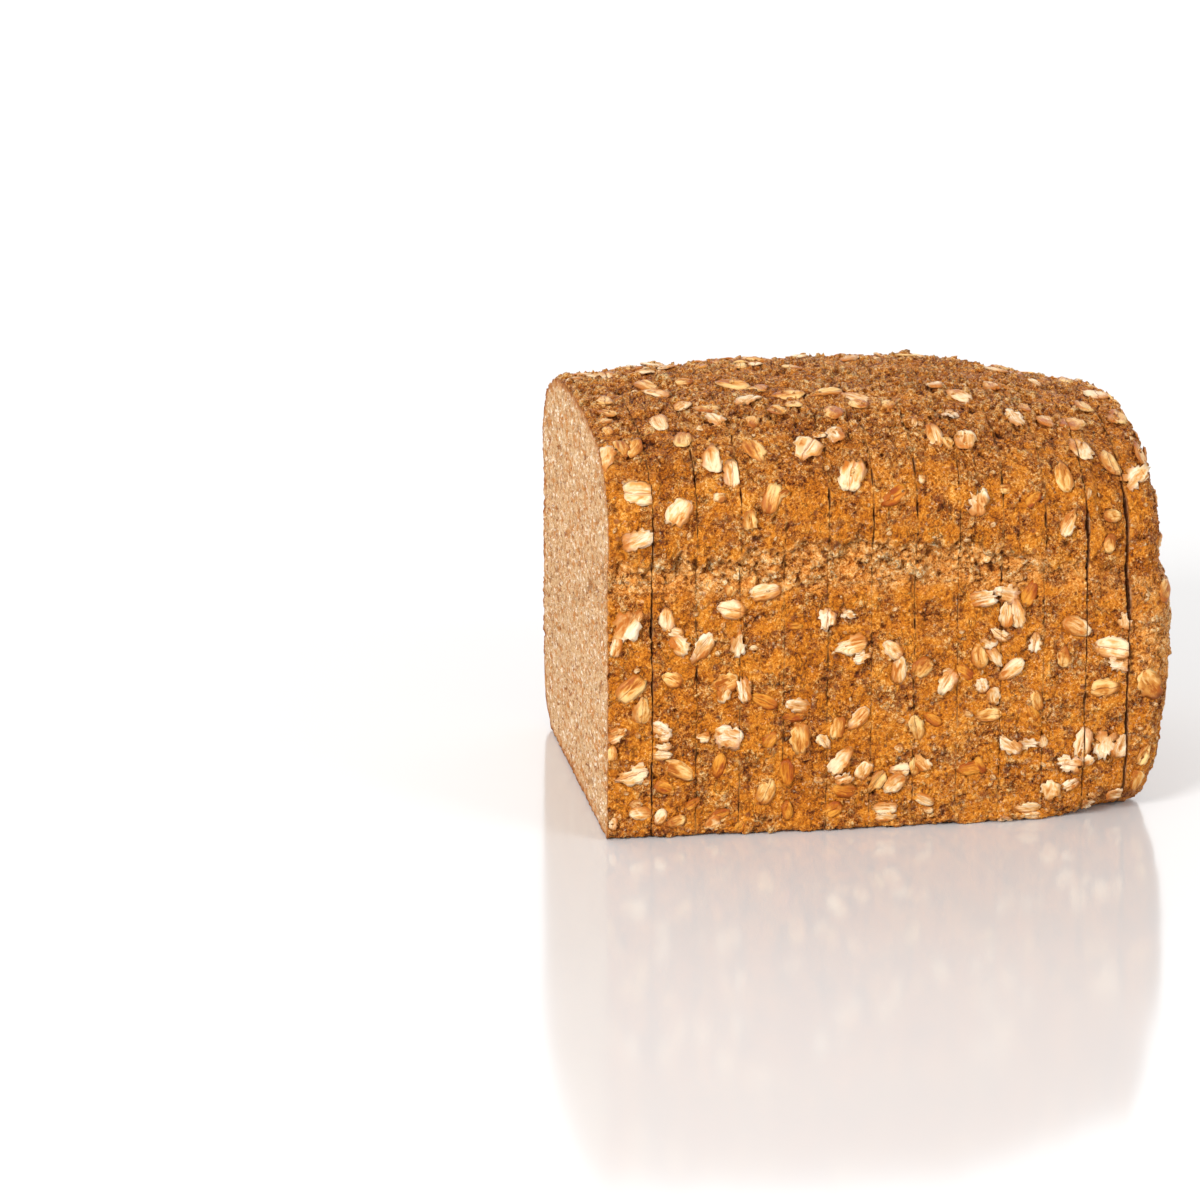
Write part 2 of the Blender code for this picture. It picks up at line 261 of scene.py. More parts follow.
def sectionAt(x, bandShare=1.0):
    toHeel = float(smooth(loaf["evenEnd"], heelStart, x))
    rounding = float(smooth(loaf["roundStart"], heelStart, x))
    ripple = 0.9 + 1.5 * noiseAt(x / loaf["rippleSize"], 4.1)
    depth = loaf["bandDepth"] * bandShare * (1.0 - toHeel / 2) * ripple
    corner = loaf["frontCorner"] + (loaf["frontCornerAtHeel"] - loaf["frontCorner"]) * rounding
    frontPower = loaf["frontPower"] + (loaf["heelPower"] - loaf["frontPower"]) * toHeel
    backPower = loaf["backPower"] + (loaf["heelPower"] - loaf["backPower"]) * toHeel
    front = halfSection(x, corner, frontPower, depth) * (-1.0, 1.0)
    back = halfSection(x, loaf["backCorner"], backPower, depth)[-2:0:-1]
    bow = loaf["bow"] * (math.sin(math.pi * min(1.0, x / loafLength)) - 0.5)
    return np.concatenate([front, back]) - (bow, 0.0)


def endPlaneAt(z):
    below = np.clip((loaf["endCentre"] - z) / loaf["endCentre"], 0.0, 1.0)
    reach = loafLength - loaf["endFootTaper"] * below ** 2
    return reach - loaf["domeEndShort"] * smooth(loaf["endLedgeLow"], loaf["endLedgeHigh"], z)


def ringAt(along):
    if along <= heelStart:
        section = sectionAt(along)
        return np.column_stack([np.full(len(section), along), section])
    angle = min(1.0, (along - heelStart) / (loaf["heelReach"] + loaf["halfWidth"])) * math.pi / 2
    inward = max(0.0, math.cos(angle)) ** (2.0 / loaf["endPower"])
    forward = math.sin(angle) ** (2.0 / loaf["endPower"])
    section = sectionAt(heelStart, inward ** loaf["endBandFade"])
    height = loaf["endCentre"] + inward * (section[:, 1] - loaf["endCentre"])
    x = heelStart + forward * (endPlaneAt(height) - heelStart)
    return np.column_stack([x, inward * section[:, 0], height])


firstRing = ringAt(0.0)
columns = len(firstRing)
stepsRound = np.hypot(*np.diff(np.vstack([firstRing, firstRing[:1]])[:, 1:], axis=0).T)
girthOf = np.concatenate(([0.0], np.cumsum(stepsRound)))  # from the middle of the base, round the loaf
fullGirth = girthOf[-1]


def noiseRound(size, y, z=0.0, factor=1.0):
    # one value of noise for each point of a ring, by its distance round the loaf
    return np.array([noiseAt(g / size * factor, y, z) for g in girthOf[:-1]])


def lumpsAt(points):
    heights = noiseOver(points / loaf["lumpSize"])
    return loaf["lumpHeight"] * heights * smooth(0.0, loaf["baseBlend"], points[:, 2])


def lumpyRing(along, shift):
    ring = ringAt(along)
    outward = ring - (0.0, 0.0, loaf["endCentre"])
    outward[:, 0] = 0.0
    outward /= np.maximum(np.linalg.norm(outward, axis=1, keepdims=True), 1e-9)
    moved = ring + outward * lumpsAt(ring)[:, None]
    return moved + (-halfLength, shift, 0.0)


def shiftOf(index):
    return loaf["sliceShift"] * noiseAt(index * 1.7, 0.4, 0.2)


# the knife's cuts: each strays a little from its plane, and its gap opens and closes

def cutEdge(cut, side):
    size, fine = knife["wanderSize"], knife["crumbleSize"]
    if cut == 0:
        return knife["faceRagged"] * (noiseRound(fine, 1.9) + 0.7 * noiseRound(fine, 6.1, 0.0, 2.9))
    middle = noiseRound(size, cut * 7.3) * knife["wander"]
    middle += 0.35 * knife["wander"] * noiseRound(fine, cut * 2.9, 3.0, 0.5)
    slow = noiseRound(size, cut * 3.1, 5.0, 1.6)
    rough = noiseRound(fine, cut * 5.7, side * 9.0) + 0.6 * noiseRound(fine, cut * 1.3, side * 4.0, 2.7)
    bothSides = (girthOf[:-1], fullGirth - girthOf[:-1])
    upper = sum(np.exp(-(((g - knife["gapeGirth"]) / knife["gapeReach"]) ** 2)) for g in bothSides)
    gapes = noiseRound(knife["gapeSize"], cut * 8.9, 2.0)
    gapes = np.clip(gapes - knife["gapeLeast"] + knife["gapeUpper"] * upper, 0.0, 1.0) * knife["gape"]
    gap, crumble = np.full(columns, knife["closedGap"] / 2), knife["crumbleClosed"]
    if cut in knife["openGaps"]:
        gap = np.interp(firstRing[:, 2], *np.array(knife["openGaps"][cut]).T) / 2
        crumble = knife["crumble"]
    half = gap * (1.0 + 0.9 * slow) + crumble * np.abs(rough) ** 1.7 + gapes
    return middle + side * np.maximum(half, knife["narrowest"])


def deselectAll():
    if bpy.context.object and bpy.context.object.mode != "OBJECT":
        bpy.ops.object.mode_set(mode="OBJECT")
    bpy.ops.object.select_all(action="DESELECT")


def makeActive(piece):
    deselectAll()
    piece.select_set(True)
    bpy.context.view_layer.objects.active = piece


def moveTo(piece, places):
    piece.data.vertices.foreach_set("co", places.astype(np.float32).ravel())


def addLayer(piece, label, values):
    layer = piece.data.attributes.new(label, "FLOAT", "POINT")
    layer.data.foreach_set("value", np.asarray(values, dtype=np.float32))


def shadeSmooth(piece):
    piece.data.polygons.foreach_set("use_smooth", np.ones(len(piece.data.polygons), dtype=bool))


def faceOutwards():
    # the last step of edit mode
    bpy.ops.mesh.select_all(action="SELECT")
    bpy.ops.mesh.normals_make_consistent(inside=False)
    bpy.ops.object.mode_set(mode="OBJECT")


def gridPiece(name, places, attributes, skinRows):
    # a grid primitive, bent round the loaf: one column for each point of a ring, one row for each ring
    rows = len(places)
    deselectAll()
    bpy.ops.mesh.primitive_grid_add(x_subdivisions=columns, y_subdivisions=rows - 1, size=1.0, calc_uvs=False)
    piece = bpy.context.object
    piece.name = name
    data = piece.data
    data.name = name
    flat = positionsOf(piece)
    column = np.rint((flat[:, 0] + 0.5) * columns).astype(int) % columns
    row = np.rint((flat[:, 1] + 0.5) * (rows - 1)).astype(int)
    middles = np.empty(len(data.polygons) * 3)
    data.polygons.foreach_get("center", middles)
    faceRow = (middles.reshape(-1, 3)[:, 1] + 0.5) * (rows - 1)
    cutFaces = (faceRow < skinRows[0]) | (faceRow > skinRows[1])
    data.materials.append(crustMaterial)
    data.materials.append(crumbMaterial)
    data.polygons.foreach_set("material_index", cutFaces.astype(np.int32))
    moveTo(piece, places[row, column])
    for label, values in attributes.items():
        addLayer(piece, label, values[row, column])
    data.update()
    bpy.ops.object.mode_set(mode="EDIT")
    bpy.ops.mesh.select_all(action="SELECT")
    bpy.ops.mesh.remove_doubles(threshold=mesh["weld"])
    faceOutwards()
    return piece


def attributeOf(piece, label):
    values = np.empty(len(piece.data.vertices), dtype=np.float32)
    piece.data.attributes[label].data.foreach_get("value", values)
    return values


def positionsOf(piece):
    places = np.empty(len(piece.data.vertices) * 3, dtype=np.float32)
    piece.data.vertices.foreach_get("co", places)
    return places.reshape(-1, 3).astype(float)


def normalsOf(piece):
    directions = np.empty(len(piece.data.vertices) * 3, dtype=np.float32)
    piece.data.vertex_normals.foreach_get("vector", directions)
    return directions.reshape(-1, 3)


def weightGroup(piece, name, weights):
    # weights in twenty steps are fine enough for a mask
    group = piece.vertex_groups.new(name=name)
    steps = np.rint(np.clip(weights, 0.0, 1.0) * 20).astype(int)
    for step in range(1, 21):
        members = np.nonzero(steps == step)[0]
        if len(members):
            group.add(members.tolist(), step / 20, "REPLACE")


# textures for the displace modifiers; size is that of one bump, height how far it stands out on average

relief = {  # kind of noise, hard or soft, size, height, octaves, and where it lies
    "swell": ("BLENDER_ORIGINAL", "SOFT_NOISE", 0.0046, 0.00020, 2, "crust"),
    "crinkle": ("ORIGINAL_PERLIN", "HARD_NOISE", 0.0029, 0.00036, 3, "rough"),
    "pits": ("VORONOI_F1", "SOFT_NOISE", 0.0020, -0.00034, 0, "rough"),
    "grain": ("IMPROVED_PERLIN", "SOFT_NOISE", 0.0012, 0.00016, 2, "crust"),
    "tear": ("ORIGINAL_PERLIN", "HARD_NOISE", 0.0036, 0.00040, 3, "torn"),
    "shreds": ("VORONOI_F1", "SOFT_NOISE", 0.0019, -0.00024, 1, "torn"),
    "swells": ("BLENDER_ORIGINAL", "SOFT_NOISE", 0.0050, 0.00010, 2, "crumb"),
    "fibre": ("IMPROVED_PERLIN", "SOFT_NOISE", 0.0011, 0.00008, 2, "crumb"),
}


def makeRelief():
    # each texture is sampled once, so that its bumps average the wanted height above and below the skin
    draw = random.Random(3)
    spots = [tuple(draw.uniform(-0.05, 0.05) for _ in range(3)) for _ in range(3000)]
    made = {}
    for label, (basis, kind, size, height, octaves, _) in relief.items():
        cloud = bpy.data.textures.new(label, "CLOUDS")
        cloud.noise_basis = basis
        cloud.noise_type = kind
        cloud.noise_scale = size
        cloud.noise_depth = octaves
        seen = np.array([cloud.evaluate(spot)[3] for spot in spots])
        made[label] = (cloud, height / float(seen.std()), float(seen.mean()))
    return made


reliefTextures = makeRelief()


def roughen(piece, masks, free):
    # displace modifiers raise the relief; its height is kept as an attribute for the material
    for label, weights in masks.items():
        weightGroup(piece, label, weights)
    before, directions = positionsOf(piece), normalsOf(piece)
    makeActive(piece)
    for label, (texture, strength, middle) in reliefTextures.items():
        group = relief[label][-1]
        if group not in masks:
            continue
        push = piece.modifiers.new(label, "DISPLACE")
        push.texture = texture
        push.texture_coords = "LOCAL"
        push.direction = "NORMAL"
        push.strength = strength
        push.mid_level = middle
        push.vertex_group = group
        bpy.ops.object.modifier_apply(modifier=label)
    after = positionsOf(piece)
    addLayer(piece, "height", np.einsum("ij,ij->i", after - before, directions) * 1000.0)
    slack = knife["faceSlack"]
    pinned = np.clip(after[:, 0], before[:, 0] - slack, before[:, 0] + slack)
    after[:, 0] = np.where(free, after[:, 0], pinned)
    after[:, 2] = np.maximum(after[:, 2], 0.0)
    moveTo(piece, after)
    piece.data.update()
    piece.vertex_groups.clear()
    shadeSmooth(piece)


patches = {
    "size": 0.0058,  # smooth golden patches between rough dark ones
    "fineSize": 0.0021,
    "roughRange": (-0.28, 0.38),
    "topRough": 0.34,  # the top is rougher than the sides
    "topHeights": (0.094, 0.110),
    "tornRagged": 0.0030,
    "tornRaggedSize": 0.0045,
    "tornFade": (0.100, 0.135),  # along the loaf
    "tornFoot": 0.0030,
    "tornHead": (-0.0012, 0.0008),
    "streakAlong": (0.142, 0.149),  # the pale streaked patch on the heel, below the ledge
    "streakFoot": (0.034, 0.046),
    "streakHead": (0.056, 0.062),
}


def masksFor(places, torn, cutDepth):
    patchy = noiseOver(places / patches["size"]) + 0.7 * noiseOver(places / patches["fineSize"])
    top = smooth(*patches["topHeights"], places[:, 2])
    rough = smooth(*patches["roughRange"], patchy + patches["topRough"] * top)
    onCrust = (cutDepth <= 0.0).astype(float)
    offBase = 0.35 + 0.65 * smooth(0.0, 0.0003, places[:, 2])
    crust = onCrust * offBase
    return {
        "crust": crust * (1.0 - 0.5 * torn),
        "rough": crust * rough * (1.0 - torn) * (0.60 + 0.40 * top),
        "torn": crust * torn,
    }, rough


def tornAt(places):
    # the torn band, with a ragged edge above and below
    low, high = np.array([bandAt(min(x + halfLength, loafLength)) for x in places[:, 0]]).T
    ragged = noiseOver(places / patches["tornRaggedSize"] * (1.0, 1.0, 0.5)) * patches["tornRagged"]
    along, up = places[:, 0] + halfLength, places[:, 2] + ragged
    foot, (headLow, headHigh) = patches["tornFoot"], patches["tornHead"]
    share = smooth(low - foot, low + foot, up)
    band = share * (1.0 - smooth(high + headLow, high + headHigh, up))
    band = band * (1.0 - 0.65 * smooth(*patches["tornFade"], along))
    streaks = smooth(*patches["streakAlong"], along) * smooth(*patches["streakFoot"], up)
    streaks = streaks * (1.0 - smooth(*patches["streakHead"], up))
    return np.maximum(band, 0.6 * streaks)


def acrossRows(start, end):
    edge = mesh["edgeRows"]
    inner = np.arange(start + mesh["firstInner"], end - mesh["lastInner"], mesh["acrossStep"])
    return [start + e for e in edge] + list(inner) + [end - e for e in reversed(edge)]


def ringsInward(ring, shares, x):
    # smaller and smaller towards the middle, and soon without the ledge
    centre = np.array([0.0, 0.0, loaf["endCentre"]])
    reach = mesh["evenColumns"]
    even = sum(np.roll(ring, step, axis=0) for step in range(-reach, reach + 1)) / (2.0 * reach + 1.0)
    rings = []
    for share in shares:
        settled = smooth(0.0, 0.12, 1.0 - share)
        inner = centre + (ring * (1.0 - settled) + even * settled - centre) * share
        inner[:, 0] = ring[:, 0] * share + x * (1.0 - share)
        rings.append(inner)
    return rings


def wearRim(ring, shift, far, chips):
    # the crust is rubbed down a little where it meets a cut
    worn = math.exp(-((far / knife["edgeWearReach"]) ** 2)) * knife["edgeWear"]
    inwards = np.array([0.0, shift, loaf["endCentre"]]) - ring
    inwards[:, 0] = 0.0
    inwards /= np.maximum(np.linalg.norm(inwards, axis=1, keepdims=True), 1e-9)
    ring += inwards * (worn * chips * smooth(0.0, knife["wearOffBase"], ring[:, 2]))[:, None]


def depthsBelow(rings, rim):
    # how far below the crust the points of a cut face lie, in millimetres
    return [np.linalg.norm((ring - rim)[:, 1:], axis=1) * 1000.0 for ring in rings]


def breadPiece(name, before, rows, after, fromEdge):
    # rings of the face before, of the crust and of the face after, with what the materials need to know
    blank = [np.zeros(columns)]
    depth = depthsBelow(before, rows[0]) + blank * len(rows) + depthsBelow(after, rows[-1])
    edge = blank * len(before) + [np.full(columns, far * 1000.0) for far in fromEdge] + blank * len(after)
    layers = {"depth": np.array(depth), "edge": np.array(edge)}
    skinRows = (len(before), len(before) + len(rows) - 1)
    piece = gridPiece(name, np.array(before + rows + after), layers, skinRows)
    spots, deep = positionsOf(piece), attributeOf(piece, "depth")
    torn = tornAt(spots) * (deep <= 0.0)
    masks, rough = masksFor(spots, torn, deep)
    addLayer(piece, "torn", torn)
    addLayer(piece, "rough", rough)
    return piece, masks, spots[:, 0], deep


pores = {
    "seed": 5,
    "count": 2600,
    "smallest": 0.00028,
    "largest": 0.00125,
    "commonest": 0.00038,
    "stretch": 1.6,  # how much longer than wide a pore is, along the crust
    "depth": 0.95,  # in radii
    "clearOfCrust": 0.0016,
    "faceHalf": 0.055,  # from the middle of the cut face to its rim
    "smallShare": 0.6,  # this many are smaller still
    "smallScale": 0.62,
    "turnSpread": 0.5,
    "wobble": 0.35,
    "wobbleRate": 9000.0,
    "rim": 1.25,  # in radii
    "roundness": 0.7,
}


def openPores(piece, onFace):
    # holes of all sizes in the exposed cut face, drawn out in line with the crust
    draw = random.Random(pores["seed"])
    places = positionsOf(piece)
    across, up = places[onFace, 1], places[onFace, 2]
    sunk = np.zeros(len(onFace))
    for _ in range(pores["count"]):
        angle, share = draw.uniform(0.0, 2 * math.pi), draw.random() ** 0.5
        ring = firstRing[int(angle / (2 * math.pi) * columns) % columns]
        middleY, middleZ = ring[1] * share, loaf["endCentre"] + (ring[2] - loaf["endCentre"]) * share
        if (1.0 - share) * pores["faceHalf"] < pores["clearOfCrust"]:
            continue
        radius = draw.triangular(pores["smallest"], pores["largest"], pores["commonest"])
        if draw.random() < pores["smallShare"]:
            radius *= pores["smallScale"]
        turn = math.atan2(ring[2] - loaf["endCentre"], ring[1]) + math.pi / 2
        turn += draw.gauss(0.0, pores["turnSpread"])
        stretch = 1.0 + (pores["stretch"] - 1.0) * 2 * draw.random()
        dy, dz = across - middleY, up - middleZ
        near = np.nonzero((np.abs(dy) < radius * 3) & (np.abs(dz) < radius * 3))[0]
        dy, dz = dy[near], dz[near]
        along = (dy * math.cos(turn) + dz * math.sin(turn)) / stretch
        beside = -dy * math.sin(turn) + dz * math.cos(turn)
        wobble = pores["wobble"] * math.sin(middleY * pores["wobbleRate"])
        bent = 1.0 + wobble * np.sin(np.arctan2(beside, along) * 3.0)
        far = np.hypot(along, beside) / (radius * bent)
        hole = np.clip(pores["rim"] - far, 0.0, 1.0) ** pores["roundness"] * radius * pores["depth"]
        sunk[near] = np.maximum(sunk[near], hole)
    places[onFace, 0] += sunk
    moveTo(piece, places)
    pore = np.zeros(len(places))
    pore[onFace] = sunk * 1000.0
    addLayer(piece, "pore", pore)


def cutFaceShares():
    # the rings of the bare cut face: fine near the crust, a little coarser inside
    reach, near, step = loaf["endCentre"], mesh["cutFineReach"], mesh["cutStep"]
    fine = np.arange(mesh["cutFineStep"], near, mesh["cutFineStep"])
    coarse = np.arange(near, reach - step / 2, step)
    return [1.0 - d / reach for d in np.concatenate([fine, coarse])] + [0.0]


def makeSlice(index):
    shift = shiftOf(index)
    start, end = (index - 1) * loaf["pitch"], index * loaf["pitch"]
    startOff, endOff = cutEdge(index - 1, 1), cutEdge(index, -1)
    rows, fromEdge = [], []
    for x in acrossRows(start, end):
        ring = lumpyRing(x, shift)
        share = (x - start) / (end - start)
        ring[:, 0] += startOff * (1.0 - share) + endOff * share
        chips = 0.50 + 0.9 * noiseRound(knife["chipFineSize"], x / knife["chipFineAcross"] + index)
        chips = chips + 0.9 * noiseRound(knife["chipSize"], x / knife["chipAcross"] + index * 3.3)
        fromEdge.append(min(x - start, end - x))
        wearRim(ring, shift, fromEdge[-1], np.clip(chips, 0.0, 1.3))
        rows.append(ring)
    startX, endX = start - halfLength, end - halfLength
    shares = cutFaceShares() if index == 1 else mesh["hiddenRings"]
    before = ringsInward(rows[0], shares, startX + float(startOff.mean()))[::-1]
    after = ringsInward(rows[-1], mesh["hiddenRings"], endX + float(endOff.mean()))
    piece, masks, x, deep = breadPiece(f"slice_{index:02d}_bread", before, rows, after, fromEdge)
    slack = knife["cadGap"] / 2 + knife["faceMargin"]
    free = (x > startX + slack) & (x < endX - slack)
    if index == 1:
        onFace = (deep > 0.0) & (x < startX + loaf["pitch"] / 2)
        masks["crumb"] = onFace * smooth(0.3, 1.6, deep)
        openPores(piece, np.nonzero(onFace)[0])
        free |= deep > 0.0
    roughen(piece, masks, free)
    return piece


def makeHeel():
    shift = shiftOf(loaf["slices"] + 1)
    startX, startOff = heelStart - halfLength, cutEdge(loaf["slices"], 1)
    reach = loaf["heelReach"] + loaf["halfWidth"]
    fineEnd, middle = reach * mesh["capFineShare"], reach - mesh["capMiddle"]
    fromEdge = list(mesh["edgeRows"]) + list(np.arange(mesh["firstInner"], fineEnd, mesh["capStep"]))
    fromEdge += list(np.arange(fineEnd, middle, mesh["capStepInside"]))
    fromEdge += list(np.arange(middle, reach - mesh["capStepMiddle"] / 2, mesh["capStepMiddle"]))
    rows = []
    for far in fromEdge:
        ring = lumpyRing(heelStart + far, shift)
        ring[:, 0] += startOff * max(0.0, 1.0 - far / 0.006)
        wearRim(ring, shift, far, 1.0)
        rows.append(ring)
    tip = np.array([float(endPlaneAt(np.array(loaf["endCentre"]))) - halfLength, shift, loaf["endCentre"]])
    rows.append(np.tile(tip, (columns, 1)))
    before = ringsInward(rows[0], mesh["hiddenRings"], startX + float(startOff.mean()))[::-1]
    piece, masks, x, _ = breadPiece("heel_bread", before, rows, [], fromEdge + [reach])
    roughen(piece, masks, x >= startX + mesh["firstCap"])
    return piece


# materials

def addNode(tree, kind, inputs=None, **settings):
    made = tree.nodes.new(kind)
    for key, value in settings.items():
        setattr(made, key, value)
    for key, value in (inputs or {}).items():
        socket = made.inputs[key]
        if isinstance(value, bpy.types.NodeSocket):
            tree.links.new(value, socket)
        else:
            socket.default_value = value
    return made


def mathNode(tree, operation, first, second=0.0, third=None, clamp=False):
    inputs = {0: first, 1: second}
    if third is not None:
        inputs[2] = third
    return addNode(tree, "ShaderNodeMath", inputs, operation=operation, use_clamp=clamp).outputs[0]


def times(tree, first, second):
    return mathNode(tree, "MULTIPLY", first, second)


def timesPlus(tree, first, second, third, clamp=False):
    return mathNode(tree, "MULTIPLY_ADD", first, second, third, clamp)


def mixColour(tree, share, first, second):
    return addNode(tree, "ShaderNodeMix", {0: share, 6: first, 7: second}, data_type="RGBA").outputs[2]


def tinted(tree, base, mask, strength, tint):
    return mixColour(tree, times(tree, mask, strength), base, tint)


def noiseNode(tree, vector, scale, detail, rough=0.5, twist=0.0):
    values = {"Vector": vector, "Scale": scale, "Detail": detail, "Roughness": rough, "Distortion": twist}
    return addNode(tree, "ShaderNodeTexNoise", values).outputs["Fac"]


def stepRange(tree, value, low, high, fromZero=0.0, toOne=1.0):
    made = addNode(tree, "ShaderNodeMapRange", {0: value, 1: low, 2: high, 3: fromZero, 4: toOne})
    made.interpolation_type = "SMOOTHSTEP"
    return made.outputs[0]


def readAttribute(tree, name):
    return addNode(tree, "ShaderNodeAttribute", attribute_name=name).outputs["Fac"]


def colour(red, green, blue):
    # a colour as a picture shows it, 0 to 255, in the linear values that a shader takes
    def linear(part):
        part /= 255.0
        return part / 12.92 if part <= 0.04045 else ((part + 0.055) / 1.055) ** 2.4
    return (linear(red), linear(green), linear(blue), 1.0)


def newGroup(name, inputs):
    # a group that takes a vector and some numbers and gives a mask
    tree = bpy.data.node_groups.new(name, "ShaderNodeTree")
    tree.interface.new_socket(name="Vector", in_out="INPUT", socket_type="NodeSocketVector")
    for label in inputs:
        tree.interface.new_socket(name=label, in_out="INPUT", socket_type="NodeSocketFloat")
    tree.interface.new_socket(name="Mask", in_out="OUTPUT", socket_type="NodeSocketFloat")
    given, out = tree.nodes.new("NodeGroupInput"), tree.nodes.new("NodeGroupOutput")
    return tree, given.outputs, out.inputs["Mask"]


def makeMottle():
    # uneven browning: a soft noise, cut to a mask between low and high
    tree, given, out = newGroup("mottle", ("Scale", "Detail", "Rough", "Low", "High"))
    cloud = noiseNode(tree, given["Vector"], given["Scale"], given["Detail"], given["Rough"])
    tree.links.new(stepRange(tree, cloud, given["Low"], given["High"]), out)
    return tree


speckWobble = 0.0006


def makeSpecks():
    # bran and crumbs: some cells of a voronoi pattern, each a small uneven spot
    tree, given, out = newGroup("specks", ("Scale", "Share", "Size"))
    vector, scale, size = given["Vector"], given["Scale"], given["Size"]
    wobble = addNode(tree, "ShaderNodeTexNoise", {"Vector": vector, "Scale": scale, "Detail": 2.0})
    spread = {0: wobble.outputs["Color"], 1: (speckWobble,) * 3}
    spread = addNode(tree, "ShaderNodeVectorMath", spread, operation="MULTIPLY").outputs[0]
    moved = addNode(tree, "ShaderNodeVectorMath", {0: vector, 1: spread}, operation="ADD").outputs[0]
    cells = addNode(tree, "ShaderNodeTexVoronoi", {"Vector": moved, "Scale": scale}).outputs
    chance = addNode(tree, "ShaderNodeSeparateColor", {0: cells["Color"]}).outputs[0]
    chosen = mathNode(tree, "LESS_THAN", chance, given["Share"])
    spot = stepRange(tree, cells["Distance"], times(tree, size, 0.55), size, 1.0, 0.0)
    tree.links.new(times(tree, chosen, spot), out)
    return tree


mottle, specks = makeMottle(), makeSpecks()


def mottled(tree, vector, size, low, high, detail=4.0, rough=0.6):
    values = {"Vector": vector, "Scale": 1.0 / size, "Detail": detail, "Rough": rough}
    values.update({"Low": low, "High": high})
    return addNode(tree, "ShaderNodeGroup", values, node_tree=mottle).outputs["Mask"]


def speckled(tree, vector, size, share, spot=0.35):
    values = {"Vector": vector, "Scale": 1.0 / size, "Share": share, "Size": spot}
    return addNode(tree, "ShaderNodeGroup", values, node_tree=specks).outputs["Mask"]


def newMaterial(name, roughness, specular):
    material = bpy.data.materials.new(name)
    material.use_nodes = True
    tree = material.node_tree
    shader = tree.nodes["Principled BSDF"]
    shader.inputs["Roughness"].default_value = roughness
    shader.inputs["Specular IOR Level"].default_value = specular
    vector = addNode(tree, "ShaderNodeTexCoord").outputs["Object"]
    return material, tree, shader, vector


def rampOf(tree, value, stops):
    made = addNode(tree, "ShaderNodeValToRGB", {0: value})
    ramp = made.color_ramp
    while len(ramp.elements) < len(stops):
        ramp.elements.new(0.5)
    for element, (place, tint) in zip(ramp.elements, stops):
        element.position = place
        element.color = tint
    return made.outputs[0]


def finishLook(tree, shader, base, height, distance):
    bump = addNode(tree, "ShaderNodeBump", {"Height": height, "Strength": 1.0, "Distance": distance})
    tree.links.new(base, shader.inputs["Base Color"])
    tree.links.new(bump.outputs[0], shader.inputs["Normal"])


def unevenness(tree, vector, layers):
    # layers of (size, weight, distortion) added up round 0
    total = None
    for size, weight, distortion in layers:
        cloud = noiseNode(tree, vector, 1.0 / size, 4.0, 0.6, distortion)
        weighed = times(tree, mathNode(tree, "SUBTRACT", cloud, 0.5), weight)
        total = weighed if total is None else mathNode(tree, "ADD", total, weighed)
    return total


def stopsOf(places, *tints):
    return [(place, colour(*tint)) for place, tint in zip(places, tints)]


crustStops = (0.04, 0.24, 0.44, 0.62, 0.82, 0.97)
crustLook = {  # each ramp runs from dark to light
    "smooth": stopsOf(crustStops, (94, 38, 2), (144, 74, 6), (190, 106, 16),
                      (211, 128, 30), (231, 155, 60), (248, 195, 116)),
    "rough": stopsOf(crustStops, (76, 28, 2), (132, 62, 12), (189, 103, 27),
                     (216, 132, 46), (237, 167, 82), (252, 212, 148)),
    "torn": stopsOf(crustStops, (112, 48, 8), (180, 98, 28), (224, 142, 58),
                    (242, 172, 92), (252, 204, 136), (255, 234, 190)),
    "purple": colour(124, 66, 42),
    # painted shade for the hollows of the relief
    "pit": colour(50, 20, 4),
    "pale": colour(250, 216, 172),
    "sparkle": colour(244, 204, 150),
    # painted highlight: glints of the crust's gloss
    "cutEdge": colour(226, 160, 82),
    "bran": colour(96, 38, 8),
    # painted shade in the wrinkle grooves
    "line": colour(80, 34, 8),
}
# specks in the crust: size, share of cells, spot, strength, tint, and where they lie
crustSpecks = (
    (0.0030, 0.15, 0.34, 0.60, "purple", "anywhere"),
    (0.0021, 0.20, 0.32, 0.70, "bran", "anywhere"),
    (0.0011, 0.22, 0.36, 0.60, "bran", "anywhere"),
    (0.0013, 0.12, 0.34, 0.50, "pale", "rough"),
)
# irregular pale grains, the first two rows painted highlights of the crust's gloss and the last real pale
# flecks: size, how much of the noise they take, strength, tint, and where they lie
crustGrains = (
    (0.00080, 0.60, 0.70, 0.50, "sparkle", "rough"),
    (0.00100, 0.58, 0.68, 0.55, "sparkle", "dusty"),
    (0.00160, 0.62, 0.72, 0.45, "pale", "anywhere"),
)


